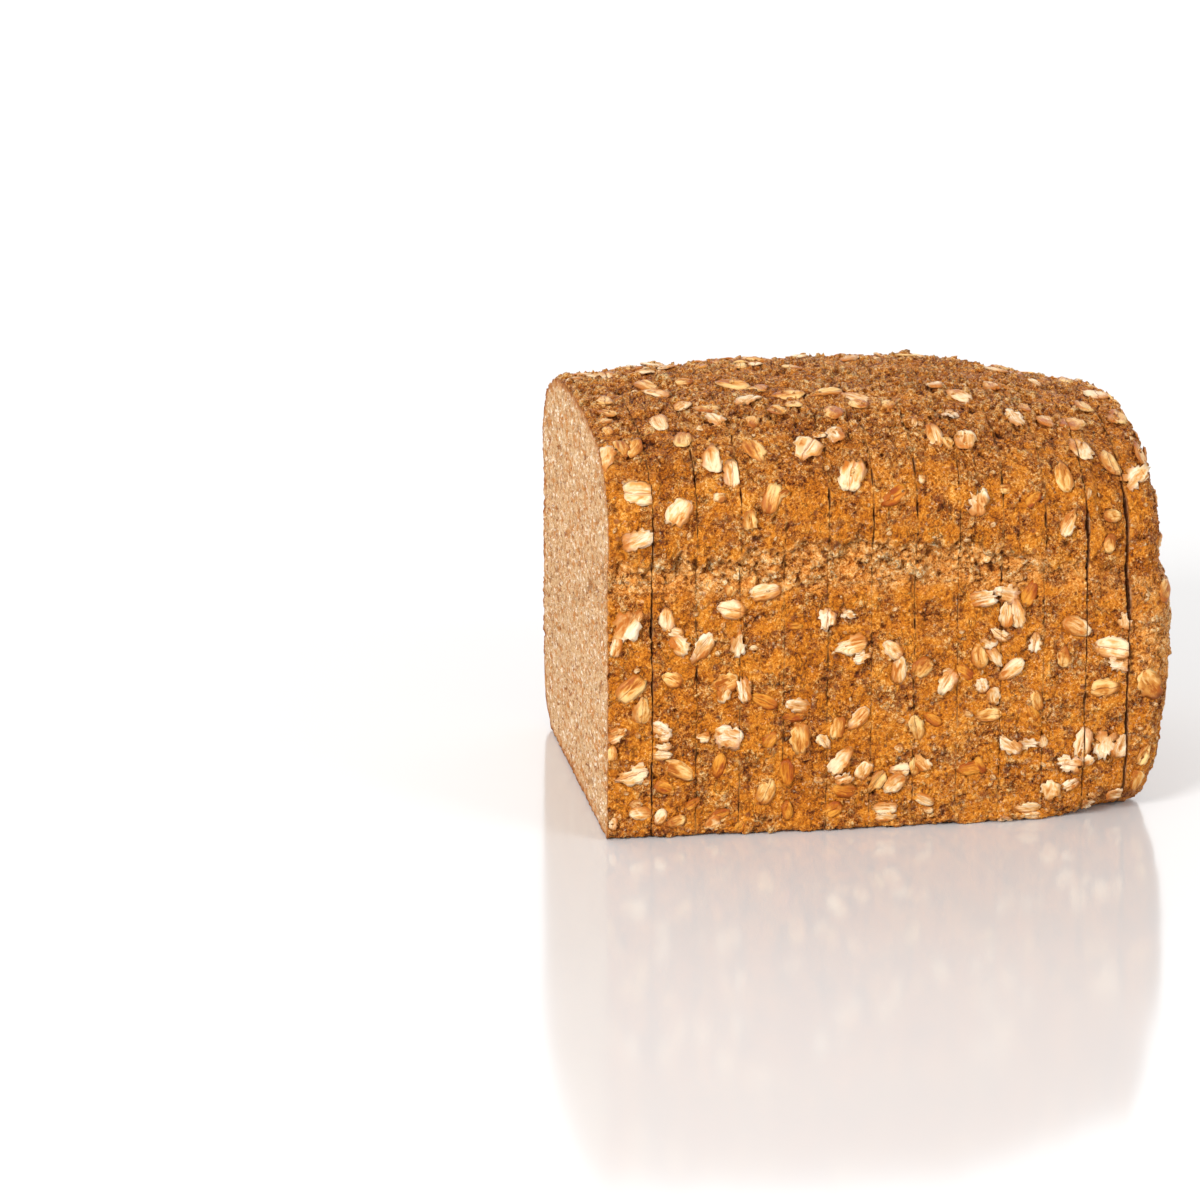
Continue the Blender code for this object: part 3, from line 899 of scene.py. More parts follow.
def makeCrust():
    material, tree, shader, vector = newMaterial("oat_crust", 0.52, 0.16)
    look = crustLook
    raised, torn = readAttribute(tree, "height"), readAttribute(tree, "torn")
    place = addNode(tree, "ShaderNodeSeparateXYZ", {0: vector}).outputs
    onTop = stepRange(tree, place[2], 0.088, 0.109)
    rough = timesPlus(tree, onTop, 0.40, readAttribute(tree, "rough"), clamp=True)
    tone = unevenness(tree, vector, ((0.0100, 0.5, 0.4), (0.0036, 0.5, 1.0), (0.0014, 1.2, 1.6)))
    fineTone = unevenness(tree, vector, ((0.0007, 2.1, 1.0),))
    tone = timesPlus(tree, fineTone, timesPlus(tree, rough, 0.4, 0.7), tone)
    # lighter on the raised relief and darker in its hollows: painted light and shade
    tone = timesPlus(tree, raised, 0.20, tone)
    # no two slices are quite the same brown
    slices = timesPlus(tree, place[0], 1 / loaf["pitch"], halfLength / loaf["pitch"])
    slices = mathNode(tree, "FLOOR", slices)
    own = addNode(tree, "ShaderNodeTexWhiteNoise", {"W": slices}, noise_dimensions="1D").outputs["Value"]
    tone = mathNode(tree, "ADD", tone, timesPlus(tree, own, 0.09, 0.485))
    base = mixColour(tree, rough, rampOf(tree, tone, look["smooth"]), rampOf(tree, tone, look["rough"]))
    base = tinted(tree, base, torn, 0.85, rampOf(tree, tone, look["torn"]))
    purple = times(tree, mottled(tree, vector, 0.0030, 0.50, 0.62, 5.0, 0.7), rough)
    purple = times(tree, purple, timesPlus(tree, torn, -0.5, 0.52))
    base = mixColour(tree, purple, base, look["purple"])
    # thin wrinkles, longer up the wall than along it, their grooves darkened with painted shade
    upright = addNode(tree, "ShaderNodeMapping", {"Vector": vector, "Scale": (1.0, 1.0, 0.5)}).outputs[0]
    folds = noiseNode(tree, upright, 300.0, 3.0, 0.55, 1.4)
    crossing = mathNode(tree, "ABSOLUTE", mathNode(tree, "SUBTRACT", folds, 0.5))
    wrinkle = stepRange(tree, crossing, 0.0, 0.034, 1.0, 0.0)
    wrinkle = times(tree, wrinkle, mottled(tree, vector, 0.0052, 0.46, 0.58))
    base = tinted(tree, base, wrinkle, 0.7, look["line"])
    # where more painted highlights of the gloss lie: low on the loaf, towards the heel end
    dusty = stepRange(tree, place[2], 0.046, 0.068, 1.0, 0.0)
    dusty = times(tree, stepRange(tree, place[0], -0.015, 0.045), dusty)
    share = {"anywhere": 1.0, "rough": timesPlus(tree, rough, 0.85, 0.15), "dusty": dusty}
    for size, cells, spot, strength, tint, where in crustSpecks:
        spots = times(tree, speckled(tree, vector, size, cells, spot), share[where])
        base = tinted(tree, base, spots, strength, look[tint])
    for size, low, high, strength, tint, where in crustGrains:
        grains = times(tree, mottled(tree, vector, size, low, high, 3.0, 0.7), share[where])
        base = tinted(tree, base, grains, strength, look[tint])
    nearCut = stepRange(tree, readAttribute(tree, "edge"), 0.10, 0.36, 1.0, 0.0)
    nearCut = times(tree, nearCut, mottled(tree, vector, 0.0042, 0.46, 0.62))
    base = tinted(tree, base, nearCut, 0.45, look["cutEdge"])
    # the relief's deepest hollows darkened with painted shade
    sunk = stepRange(tree, raised, -1.05, -0.40, 1.0, 0.0)
    base = tinted(tree, base, sunk, 0.70, look["pit"])
    fine = noiseNode(tree, vector, 1300.0, 6.0, 0.72, 0.6)
    surface = timesPlus(tree, wrinkle, -0.30, fine)
    finishLook(tree, shader, base, surface, timesPlus(tree, rough, 0.0007, 0.0008))
    tree.links.new(stepRange(tree, fine, 0.35, 0.65, 0.30, 0.62), shader.inputs["Roughness"])
    return material


crumbStops = (0.04, 0.22, 0.42, 0.60, 0.80, 0.97)
crumbLook = {
    "crumb": stopsOf(crumbStops, (140, 90, 44), (184, 134, 84), (206, 162, 114),
                     (218, 178, 132), (230, 196, 156), (250, 226, 196)),
    # painted shade for the pores
    "pore": colour(144, 88, 42),
    "bran": colour(140, 76, 30),
    "husk": colour(192, 122, 52),
    "rim": colour(184, 112, 46),
    "skin": colour(140, 74, 20),
    "white": colour(255, 236, 210),
}
# dashes of bran in the crumb: size, how much of the noise they take, strength, tint
crumbDashes = (
    (0.0022, 0.55, 0.62, 0.70, "husk"),
    (0.0012, 0.57, 0.64, 0.85, "husk"),
    (0.0015, 0.61, 0.67, 0.85, "bran"),
    (0.0010, 0.56, 0.66, 0.80, "white"),
)


def makeCrumb():
    material, tree, shader, vector = newMaterial("wholemeal_crumb", 0.82, 0.20)
    look = crumbLook
    raised = readAttribute(tree, "height")
    flow = addNode(tree, "ShaderNodeMapping", {"Vector": vector, "Scale": (1.0, 0.50, 0.80)}).outputs[0]
    layers = ((0.0075, 0.25, 0.5), (0.0026, 0.5, 1.2), (0.0012, 1.2, 1.6), (0.0006, 1.5, 0.8))
    tone = unevenness(tree, flow, layers)
    # lighter on the raised crumb and darker in its hollows: painted light and shade
    tone = mathNode(tree, "ADD", timesPlus(tree, raised, 0.22, tone), 0.50)
    base = rampOf(tree, tone, look["crumb"])
    for place, (size, low, high, strength, tint) in enumerate(crumbDashes):
        moved = addNode(tree, "ShaderNodeVectorMath", {0: flow, 1: (0.37 * place, 0.0, 0.0)}, operation="ADD")
        dashes = mottled(tree, moved.outputs[0], size, low, high, 3.0, 0.55)
        base = tinted(tree, base, dashes, strength, look[tint])
    # dark spots stand for pores too small for the mesh: painted shade
    spots = speckled(tree, flow, 0.0015, 0.26, 0.38)
    base = tinted(tree, base, spots, 0.65, look["pore"])
    # the modelled pores darkened by their depth: painted shade
    sunk = stepRange(tree, readAttribute(tree, "pore"), 0.12, 0.60)
    base = tinted(tree, base, sunk, 0.70, look["pore"])
    depth = readAttribute(tree, "depth")
    uneven = timesPlus(tree, mottled(tree, vector, 0.0030, 0.3, 0.7), 1.8, depth)
    rim = stepRange(tree, uneven, 0.9, 4.4, 1.0, 0.0)
    base = tinted(tree, base, rim, 0.80, look["rim"])
    skin = stepRange(tree, uneven, 0.8, 2.4, 1.0, 0.0)
    base = tinted(tree, base, skin, 0.75, look["skin"])
    finishLook(tree, shader, base, noiseNode(tree, flow, 1200.0, 6.0, 0.72, 1.0), 0.0007)
    return material


crustMaterial, crumbMaterial = makeCrust(), makeCrumb()

breadPieces = []
for index in range(1, loaf["slices"] + 1):
    breadPieces.append(makeSlice(index))


breadPieces.append(makeHeel())
for piece in breadPieces:
    node = piece.name.replace("_bread", "")
    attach(piece, "root")
    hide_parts(node)


print("slices made:", len(breadPieces), "triangles:", sum(len(p.data.polygons) for p in breadPieces) * 2)

# the photograph's camera comes before the oats, because they are placed by what it sees

view = {
    "yaw": 9.17,
    "pitch": 16.54,
    "distance": 1.657,
    "focalPixels": 5940.0,
    "framePixels": 1200.0,
    "target": (0.00712 - halfLength, 0.0011, 0.05123),
}
yaw, pitch = math.radians(view["yaw"]), math.radians(view["pitch"])
viewForward = Vector((math.sin(yaw) * math.cos(pitch), math.cos(yaw) * math.cos(pitch), -math.sin(pitch)))
viewRight = Vector((math.cos(yaw), -math.sin(yaw), 0.0))
viewUp = viewRight.cross(viewForward)
viewPoint = Vector(view["target"]) - viewForward * view["distance"]


def rayThrough(x, y):
    # the direction from the camera through a pixel of the photograph
    half = view["framePixels"] / 2
    return (viewForward * view["focalPixels"] + viewRight * (x - half) - viewUp * (y - half)).normalized()


def makeCamera():
    data = bpy.data.cameras.new("camera")
    data.sensor_width = 36.0
    data.lens = view["focalPixels"] / view["framePixels"] * data.sensor_width
    data.clip_start = 0.05
    data.clip_end = 50.0
    camera = bpy.data.objects.new("camera", data)
    bpy.context.scene.collection.objects.link(camera)
    camera.location = viewPoint
    camera.rotation_euler = viewForward.to_track_quat("-Z", "Y").to_euler()
    bpy.context.scene.camera = camera


makeCamera()


# the oats: flakes that the photograph shows, as (x, y, length, width, turn) in its pixels and degrees

seenFlakes = {
    "pale": (
        (607, 460, 27, 10, 70), (613, 823, 12, 9, 90), (616, 648, 19, 11, 80), (617, 735, 19, 14, 20),
        (632, 775, 31, 19, 15), (641, 494, 32, 22, 0), (641, 813, 21, 13, 0), (655, 395, 25, 6, -3),
        (659, 423, 18, 10, -50), (660, 817, 16, 11, 60), (662, 755, 18, 9, 0), (663, 746, 16, 8, 0),
        (667, 619, 21, 15, 90), (676, 632, 14, 9, 0), (679, 513, 30, 22, 60), (680, 645, 21, 18, -45),
        (682, 406, 17, 7, 12), (703, 736, 13, 10, 0), (712, 460, 24, 20, 90), (712, 823, 16, 11, 30),
        (714, 420, 19, 11, -20), (723, 693, 18, 13, 70), (731, 609, 25, 18, -10), (732, 475, 25, 17, -85),
        (748, 402, 23, 8, 15), (765, 592, 29, 16, 15), (807, 450, 34, 25, 40), (819, 433, 13, 5, -5),
        (824, 742, 16, 11, -50), (841, 760, 30, 15, 50), (851, 645, 29, 19, 15), (852, 474, 35, 24, 80),
        (858, 398, 30, 8, -10), (858, 719, 26, 13, 45), (863, 770, 19, 13, 55), (884, 807, 23, 9, 5),
        (885, 816, 20, 9, 0), (893, 649, 20, 15, -40), (894, 783, 23, 15, 35), (899, 669, 25, 13, 85),
        (899, 770, 19, 13, 5), (922, 762, 19, 13, -50), (924, 799, 19, 7, -20), (934, 386, 15, 9, -40),
        (934, 436, 21, 14, -60), (946, 681, 25, 15, 60), (959, 396, 23, 9, -12), (965, 439, 20, 18, 0),
        (993, 695, 16, 13, -80), (995, 657, 20, 11, -55), (999, 634, 19, 11, -35),
        (1006, 613, 26, 13, 85), (1011, 669, 27, 14, 35), (1017, 613, 26, 11, -80), (1027, 807, 23, 11, 0),
        (1031, 815, 18, 5, 0), (1044, 420, 21, 11, -60), (1050, 791, 21, 20, 60), (1069, 522, 27, 13, 60),
        (1076, 626, 27, 17, -25), (1080, 450, 27, 17, -35), (1082, 744, 33, 13, 80),
        (1096, 396, 25, 13, -20), (1112, 647, 35, 20, -5)),
    "ragged": (
        (625, 629, 36, 26, 60), (635, 619, 21, 8, 62), (638, 539, 31, 19, 25), (661, 728, 19, 13, -20),
        (663, 736, 16, 10, 0), (701, 648, 33, 13, 55), (727, 737, 27, 23, 0), (738, 643, 26, 15, 80),
        (744, 689, 25, 11, -75), (798, 705, 24, 14, -10), (826, 619, 21, 17, 75), (835, 434, 19, 15, -30),
        (844, 777, 19, 11, 20), (848, 613, 14, 10, 0), (862, 656, 18, 11, 20), (949, 419, 16, 9, 10),
        (978, 502, 27, 19, 90), (981, 686, 14, 13, 90), (983, 598, 26, 16, 15), (988, 642, 16, 11, -20),
        (1005, 818, 14, 7, 0), (1007, 592, 25, 18, -10), (1008, 743, 26, 15, -35),
        (1016, 422, 23, 13, -40), (1028, 743, 23, 12, 0), (1035, 642, 19, 12, 80), (1068, 764, 23, 18, 0),
        (1070, 784, 17, 10, 30), (1086, 760, 14, 11, 30), (1086, 804, 16, 11, 30), (1105, 744, 26, 21, 80),
        (1116, 792, 20, 10, 15), (1118, 663, 20, 16, 0), (1121, 747, 23, 18, 60), (1123, 620, 16, 14, 90),
        (1134, 477, 27, 20, 40)),
    "toasted": (
        (605, 402, 16, 8, 5), (605, 422, 15, 5, 0), (607, 414, 17, 5, -5), (608, 431, 10, 7, 0),
        (612, 753, 15, 11, 90), (622, 450, 17, 10, -60), (630, 689, 31, 19, 45), (635, 450, 20, 12, 50),
        (642, 711, 25, 17, 80), (646, 387, 22, 8, -10), (648, 431, 13, 5, 30), (672, 679, 19, 15, -25),
        (675, 821, 19, 10, 20), (679, 770, 30, 16, -20), (683, 440, 17, 15, 60), (684, 381, 18, 5, 0),
        (706, 411, 23, 7, 5), (725, 683, 25, 18, 20), (729, 591, 12, 9, 90), (733, 382, 33, 6, -5),
        (750, 521, 20, 14, -80), (752, 422, 14, 12, 0), (755, 453, 27, 19, -45), (758, 388, 27, 10, -18),
        (766, 792, 25, 16, 60), (772, 498, 30, 17, 75), (777, 410, 19, 8, -5), (784, 494, 12, 6, 30),
        (787, 396, 33, 7, 3), (793, 402, 17, 6, 0), (800, 739, 32, 19, 90), (826, 394, 30, 5, 2),
        (833, 412, 17, 11, 0), (838, 728, 23, 14, 80), (859, 405, 18, 8, -5), (876, 781, 23, 13, 50),
        (888, 404, 11, 7, 0), (915, 728, 26, 11, -80), (915, 767, 17, 11, 90), (921, 666, 21, 17, 45),
        (948, 444, 14, 9, -60), (979, 656, 23, 16, 90), (988, 715, 24, 11, 5), (991, 388, 20, 11, -25),
        (1005, 489, 11, 9, 0), (1023, 411, 14, 6, -25), (1036, 700, 19, 11, -70),
        (1063, 477, 31, 16, -80), (1064, 656, 21, 13, 90), (1066, 382, 12, 5, 0), (1071, 425, 25, 12, -8),
        (1083, 408, 15, 6, -42), (1105, 688, 26, 17, 10), (1109, 464, 27, 14, -60),
        (1109, 543, 18, 11, 80), (1112, 399, 20, 9, -40), (1113, 516, 17, 12, 0), (1118, 417, 19, 16, -30),
        (1136, 781, 20, 10, 70), (1140, 456, 31, 10, -70), (1144, 753, 22, 10, 60),
        (1149, 685, 29, 23, -60), (1164, 590, 26, 10, 80)),
    "glazed": (
        (664, 787, 18, 13, -20), (693, 803, 17, 8, 35), (719, 766, 23, 11, 75), (721, 813, 19, 7, 15),
        (740, 827, 12, 9, 45), (764, 701, 26, 12, -25), (770, 739, 18, 13, 50), (787, 773, 26, 11, 90),
        (787, 810, 18, 10, 90), (794, 716, 21, 10, 5), (795, 626, 14, 5, 0), (832, 809, 19, 14, 30),
        (844, 790, 25, 14, -10), (894, 496, 27, 16, 35), (933, 719, 19, 7, -35), (965, 672, 19, 11, -35),
        (970, 768, 25, 12, 10), (980, 765, 16, 8, -60), (1030, 593, 26, 11, 65), (1033, 713, 18, 10, -60),
        (1034, 499, 18, 9, 45)),
    "bits": (
        (622, 604, 5, 5, 0), (636, 804, 12, 8, 0), (637, 670, 6, 5, 0), (646, 782, 8, 6, 0),
        (700, 429, 7, 5, 0), (720, 498, 12, 9, 0), (754, 648, 9, 6, 0), (819, 780, 9, 6, 0),
        (899, 748, 8, 7, 0), (900, 720, 8, 5, 0), (914, 421, 9, 5, 90), (922, 479, 9, 7, 90),
        (928, 810, 11, 5, 0), (949, 672, 11, 7, 0), (967, 713, 11, 6, -30), (1035, 382, 8, 5, 0),
        (1043, 742, 16, 8, 90), (1088, 494, 10, 5, 90), (1091, 795, 8, 6, 0)),
}

# the sides that the photograph hides: length along the loaf and girth, both low and high, and how many tries

hiddenZones = {
    "crown": (0.001, 0.150, 0.176, 0.262, 150),
    "backShoulder": (0.001, 0.150, 0.252, 0.286, 60),
    "backWall": (0.001, 0.147, 0.290, 0.362, 150),
    "heelRim": (0.146, 0.172, 0.066, 0.352, 110),
    "heelEnd": (0.170, 0.208, 0.0, 0.418, 120),
}

oats = {
    "seed": 21,
    "longest": 0.0102,
    "shortest": 0.0042,
    "slimmest": 0.52,
    "thick": 0.00090,
    # how deep each kind is sunk, as a share of its thickness
    "sunk": {"pale": 0.10, "ragged": 0.05, "toasted": 0.25, "glazed": 0.50, "bits": 0.25},
    "tilt": {"pale": 6.0, "ragged": 9.0, "toasted": 5.0, "glazed": 3.0, "bits": 15.0},
    "kinds": (("pale", 0.34), ("ragged", 0.22), ("toasted", 0.26), ("glazed", 0.10), ("bits", 0.08)),
    "spacing": 0.70,
    "seenSwell": 1.16,  # a flake's thin rim reaches a little past what was measured
    "looseBits": 300,
    "scatter": 0.0045,  # flakes lie in loose groups
    "seatReach": 0.003,
    "bitSeatReach": 0.0012,
    "probeDepth": 0.004,  # the crust is looked for this far above and below a flake
    "edgeMargin": 0.062,  # girth at each side of the base that stays bare of loose bits
    "commonest": 0.0074,
    "widest": 0.86,  # width as a share of length
    "slimness": (0.56, 0.78),
    "longestBit": 0.004,
    "bitLengths": (0.0015, 0.0030),
    "looseLengths": (0.0009, 0.0026, 0.0013),  # least, most, commonest
    "looseSlimness": (0.45, 0.85),
    "looseAlong": (0.001, 0.200),
    "lowest": 0.0035,  # no flake below this height on the hidden sides
    "looseLowest": 0.003,
    "middleLine": (0.02, heelStart - 0.03),  # the ends of the line that flakes face away from
    "grazing": 0.05,
    "seenWithin": 0.004,
    "thickness": (0.85, 1.25),
    "bend": (-0.35, 0.30),
    "twist": (-0.6, 0.6),
    "offFloor": 0.0002,
}

# flat shapes of a rolled oat: how pointed, how ragged, how deep its crease, how it curls, how deep its notch
flakeShapes = {
    "smooth": (0.0, 0.16, 0.10, 0.10, 0.10),
    "oval": (0.08, 0.20, 0.45, 0.05, 0.16),
    "broken": (0.0, 0.34, 0.15, -0.10, 0.50),
    "split": (0.05, 0.40, 0.75, 0.25, 0.40),
    "torn": (0.0, 0.60, 0.20, 0.40, 0.45),
    "fringed": (0.0, 0.90, 0.25, 0.55, 0.40),
    "crumb": (0.0, 0.34, 0.0, 0.20, 0.20),
}
shapesFor = {
    "pale": ("smooth", "oval", "broken", "torn", "split"),
    "ragged": ("torn", "fringed", "fringed", "split"),
    "toasted": ("smooth", "oval", "split", "broken"),
    "glazed": ("smooth", "oval", "oval"),
    "bits": ("crumb",),
}


def makeFlakeShape(name, values, seed):
    # a small grid drawn into a disc, its edge pulled about, then closed underneath; one unit long and wide
    draw = random.Random(seed)
    point, ragged, crease, curl, notch = values
    across, along = (4, 4) if name == "crumb" else (6, 7)
    deselectAll()
    bpy.ops.mesh.primitive_grid_add(x_subdivisions=along, y_subdivisions=across, size=1.0, calc_uvs=False)
    shape = bpy.context.object
    shape.name = f"{name}_{seed}"
    broken = draw.choice((-1, 1))
    phase = draw.uniform(0.0, 9.0)
    for vertex in shape.data.vertices:
        a, b = vertex.co.x * 2, vertex.co.y * 2
        u, v = a * math.sqrt(1 - b * b / 2), b * math.sqrt(1 - a * a / 2)
        far = min(1.0, math.hypot(u, v))
        angle = math.atan2(v, u)
        pull = 1.0 - point * abs(math.sin(angle)) ** 3 * abs(u) * 2
        wave = noiseAt(math.cos(angle) * 1.3 + phase, math.sin(angle) * 1.3, phase)
        teeth = noiseAt(math.cos(angle) * 4.0 + phase, math.sin(angle) * 4.0, phase + 4)
        pull += far ** 3 * (0.09 * math.sin(2 * angle) ** 2 + 0.14 * wave)
        pull += far ** 3 * ragged * 1.3 * min(0.16, wave * 0.5 + teeth)
        end = max(0.0, u * broken - 0.45)
        pull -= notch * end * (1.0 + 1.4 * teeth)
        dome = (1.0 - far ** 5) ** 0.5 if far < 1.0 else 0.0
        groove = crease * math.exp(-((v / 0.16) ** 2)) * (1.0 - 0.6 * abs(u))
        ridges = 0.08 * math.cos(v * 9.0 + phase)
        fold = 0.22 * noiseAt(u * 1.8 + phase, v * 3.2, phase + 2)
        vertex.co = (u * pull / 2, v * pull / 2, dome * (0.56 + ridges + fold) - groove * dome)
        vertex.co.z += curl * 1.6 * (u * u if broken > 0 else v * v) * far
    outline = positionsOf(shape)
    low, high = outline.min(axis=0), outline.max(axis=0)
    outline[:, :2] = (outline[:, :2] - low[:2]) / (high[:2] - low[:2]) - 0.5
    moveTo(shape, outline)
    bpy.ops.object.mode_set(mode="EDIT")
    bpy.ops.mesh.select_all(action="SELECT")
    bpy.ops.mesh.region_to_loop()
    bpy.ops.mesh.extrude_edges_move(TRANSFORM_OT_translate={"value": (0.0, 0.0, -0.42)})
    bpy.ops.transform.resize(value=(0.86, 0.86, 1.0))
    bpy.ops.mesh.edge_face_add()
    faceOutwards()
    shape.data.attributes.new("grain", "FLOAT_VECTOR", "POINT")
    shape.data.attributes.new("tone", "FLOAT", "POINT")
    shadeSmooth(shape)
    return shape


breadTrees = [BVHTree.FromObject(piece, bpy.context.evaluated_depsgraph_get()) for piece in breadPieces]


def hitBread(start, direction, reach=10.0):
    nearest = None
    for tree in breadTrees:
        place, normal, _, far = tree.ray_cast(start, direction, reach)
        if place is not None and (nearest is None or far < nearest[2]):
            nearest = (place, normal, far)
    return nearest


def seatAt(place, outward, reach):
    # the plane on which a flake of this reach lies: fitted to the crust below and round it
    side = outward.orthogonal().normalized()
    other = outward.cross(side)
    spots = []
    for far, count in ((0.0, 1), (0.5, 6), (1.0, 10)):
        for step in range(count):
            angle = 2 * math.pi * step / count
            offset = (side * math.cos(angle) + other * math.sin(angle)) * far * reach
            hit = hitBread(place + outward * oats["probeDepth"] + offset, -outward, oats["probeDepth"] * 2)
            if hit:
                spots.append(hit[0])
    if len(spots) < 8:
        return place, outward
    cloud = np.array(spots)
    middle = cloud.mean(axis=0)
    normal = Vector(np.linalg.svd(cloud - middle)[2][2])
    if normal.dot(outward) < 0:
        normal.negate()
    above = (cloud - middle) @ np.array(normal)
    seat = place + normal * float((Vector(middle) - place).dot(normal) + np.percentile(above, 60))
    return seat, normal


def outwardAt(place):
    # away from the loaf's middle line, or from its end's middle past the last cut
    low, high = oats["middleLine"]
    x = min(max(place.x, low - halfLength), high - halfLength)
    return (place - Vector((x, 0.0, loaf["endCentre"]))).normalized()


def seenPlaces():
    # each flake of the photograph, laid on the crust where the ray through its pixel meets it
    for kind, flakes in seenFlakes.items():
        for x, y, length, width, turn in flakes:
            hit = hitBread(viewPoint, rayThrough(x, y))
            if hit is None:
                continue
            place, _, far = hit
            place, normal = seatAt(place, outwardAt(place), oats["seatReach"])
            scale = far / view["focalPixels"] * oats["seenSwell"]
            angle = math.radians(turn)
            inPicture = viewRight * math.cos(angle) + viewUp * math.sin(angle)
            acrossPicture = viewUp * math.cos(angle) - viewRight * math.sin(angle)
            # the ellipse seen in the picture, laid back onto the crust
            first = (viewRight - normal * viewRight.dot(normal)).normalized()
            second = normal.cross(first)
            jacobian = np.array([[first.dot(viewRight), second.dot(viewRight)],
                                 [first.dot(viewUp), second.dot(viewUp)]])
            axes = np.array([[inPicture.dot(viewRight) * length, acrossPicture.dot(viewRight) * width],
                             [inPicture.dot(viewUp) * length, acrossPicture.dot(viewUp) * width]]) * scale
            laid = np.linalg.inv(jacobian) @ axes
            turned, sizes, _ = np.linalg.svd(laid)
            direction = first * turned[0, 0] + second * turned[1, 0]
            longSide = min(float(sizes[0]), oats["longestBit" if kind == "bits" else "longest"])
            shortSide = max(float(sizes[1]), longSide * oats["slimmest"])
            shortSide = min(shortSide, longSide * oats["widest"])
            yield kind, place, normal, direction, longSide, shortSide


def facesCamera(place, outward):
    toCamera = (viewPoint - place).normalized()
    if outward.dot(toCamera) < oats["grazing"]:
        return False
    hit = hitBread(viewPoint, -toCamera)
    return hit is not None and (hit[0] - place).length < oats["seenWithin"]


def placeOn(along, girth):
    ring = ringAt(along)
    column = int(np.searchsorted(girthOf, girth % fullGirth)) % columns
    return Vector(ring[column]) - Vector((halfLength, 0.0, 0.0))


def directionOn(normal, turn):
    side = normal.orthogonal().normalized()
    return side * math.cos(turn) + normal.cross(side) * math.sin(turn)


def hiddenPlaces(draw):
    kinds, weights = zip(*oats["kinds"])
    for low, high, girthLow, girthHigh, tries in hiddenZones.values():
        for _ in range(tries):
            x, girth = draw.uniform(low, high), draw.uniform(girthLow, girthHigh)
            for _ in range(draw.choice((1, 1, 2, 3))):
                kind = draw.choices(kinds, weights)[0]
                along = min(high, max(low, x + draw.gauss(0.0, oats["scatter"])))
                spot = placeOn(along, girth + draw.gauss(0.0, oats["scatter"]))
                length = draw.triangular(oats["shortest"], oats["longest"] * 0.95, oats["commonest"])
                if kind == "bits":
                    length = draw.uniform(*oats["bitLengths"])
                turn, slim = draw.uniform(0.0, math.pi), draw.uniform(*oats["slimness"])
                outward = outwardAt(spot)
                if spot.z < oats["lowest"] or facesCamera(spot, outward):
                    continue
                seat, normal = seatAt(spot, outward, oats["seatReach"])
                yield kind, seat, normal, directionOn(normal, turn), length, length * slim


def loosePlaces(draw):
    # crumbs and husks too small to be told apart, all over the crust
    for _ in range(oats["looseBits"]):
        along = draw.uniform(*oats["looseAlong"])
        spot = placeOn(along, draw.uniform(oats["edgeMargin"], fullGirth - oats["edgeMargin"]))
        if spot.z < oats["looseLowest"]:
            continue
        seat, normal = seatAt(spot, outwardAt(spot), oats["bitSeatReach"])
        direction = directionOn(normal, draw.uniform(0.0, math.pi))
        length = draw.triangular(*oats["looseLengths"])
        yield "bits", seat, normal, direction, length, length * draw.uniform(*oats["looseSlimness"])


def copyOf(piece):
    made = piece.copy()
    made.data = piece.data.copy()
    bpy.context.scene.collection.objects.link(made)
    return made


def layFlake(shape, kind, seat, normal, direction, length, width, draw):
    flake = copyOf(shape)
    local = positionsOf(shape)
    thick = oats["thick"] * (0.55 + 0.45 * length / 0.008) * draw.uniform(*oats["thickness"])
    lean, roll = [math.radians(draw.gauss(0.0, oats["tilt"][kind] / 2)) for _ in range(2)]
    bend, twist = draw.uniform(*oats["bend"]), draw.uniform(*oats["twist"])
    flip = draw.choice((-1, 1))
    u, v, w = local[:, 0] * length * flip, local[:, 1] * width * flip, local[:, 2] * thick
    w = w + thick * (0.50 - oats["sunk"][kind]) + bend * thick * (local[:, 0] * 2) ** 2
    w = w + twist * thick * local[:, 0] * local[:, 1] * 4 + u * math.tan(lean) + v * math.tan(roll)
    axes = np.array([direction, normal.cross(direction), normal])
    places = np.array(seat) + np.column_stack([u, v, w]) @ axes
    places[:, 2] = np.maximum(places[:, 2], oats["offFloor"])
    moveTo(flake, places)
    tone = np.full(len(places), draw.random(), dtype=np.float32)
    flake.data.attributes["tone"].data.foreach_set("value", tone)
    grain = local + np.array([0.0, 0.0, draw.uniform(0.0, 40.0)])
    flake.data.attributes["grain"].data.foreach_set("vector", grain.astype(np.float32).ravel())
    return flake


def sliceOf(x):
    return min(loaf["slices"], max(0, int((x + halfLength) / loaf["pitch"])))


def selectOpen():
    bpy.ops.mesh.select_all(action="DESELECT")
    bpy.ops.mesh.select_non_manifold(extend=False)


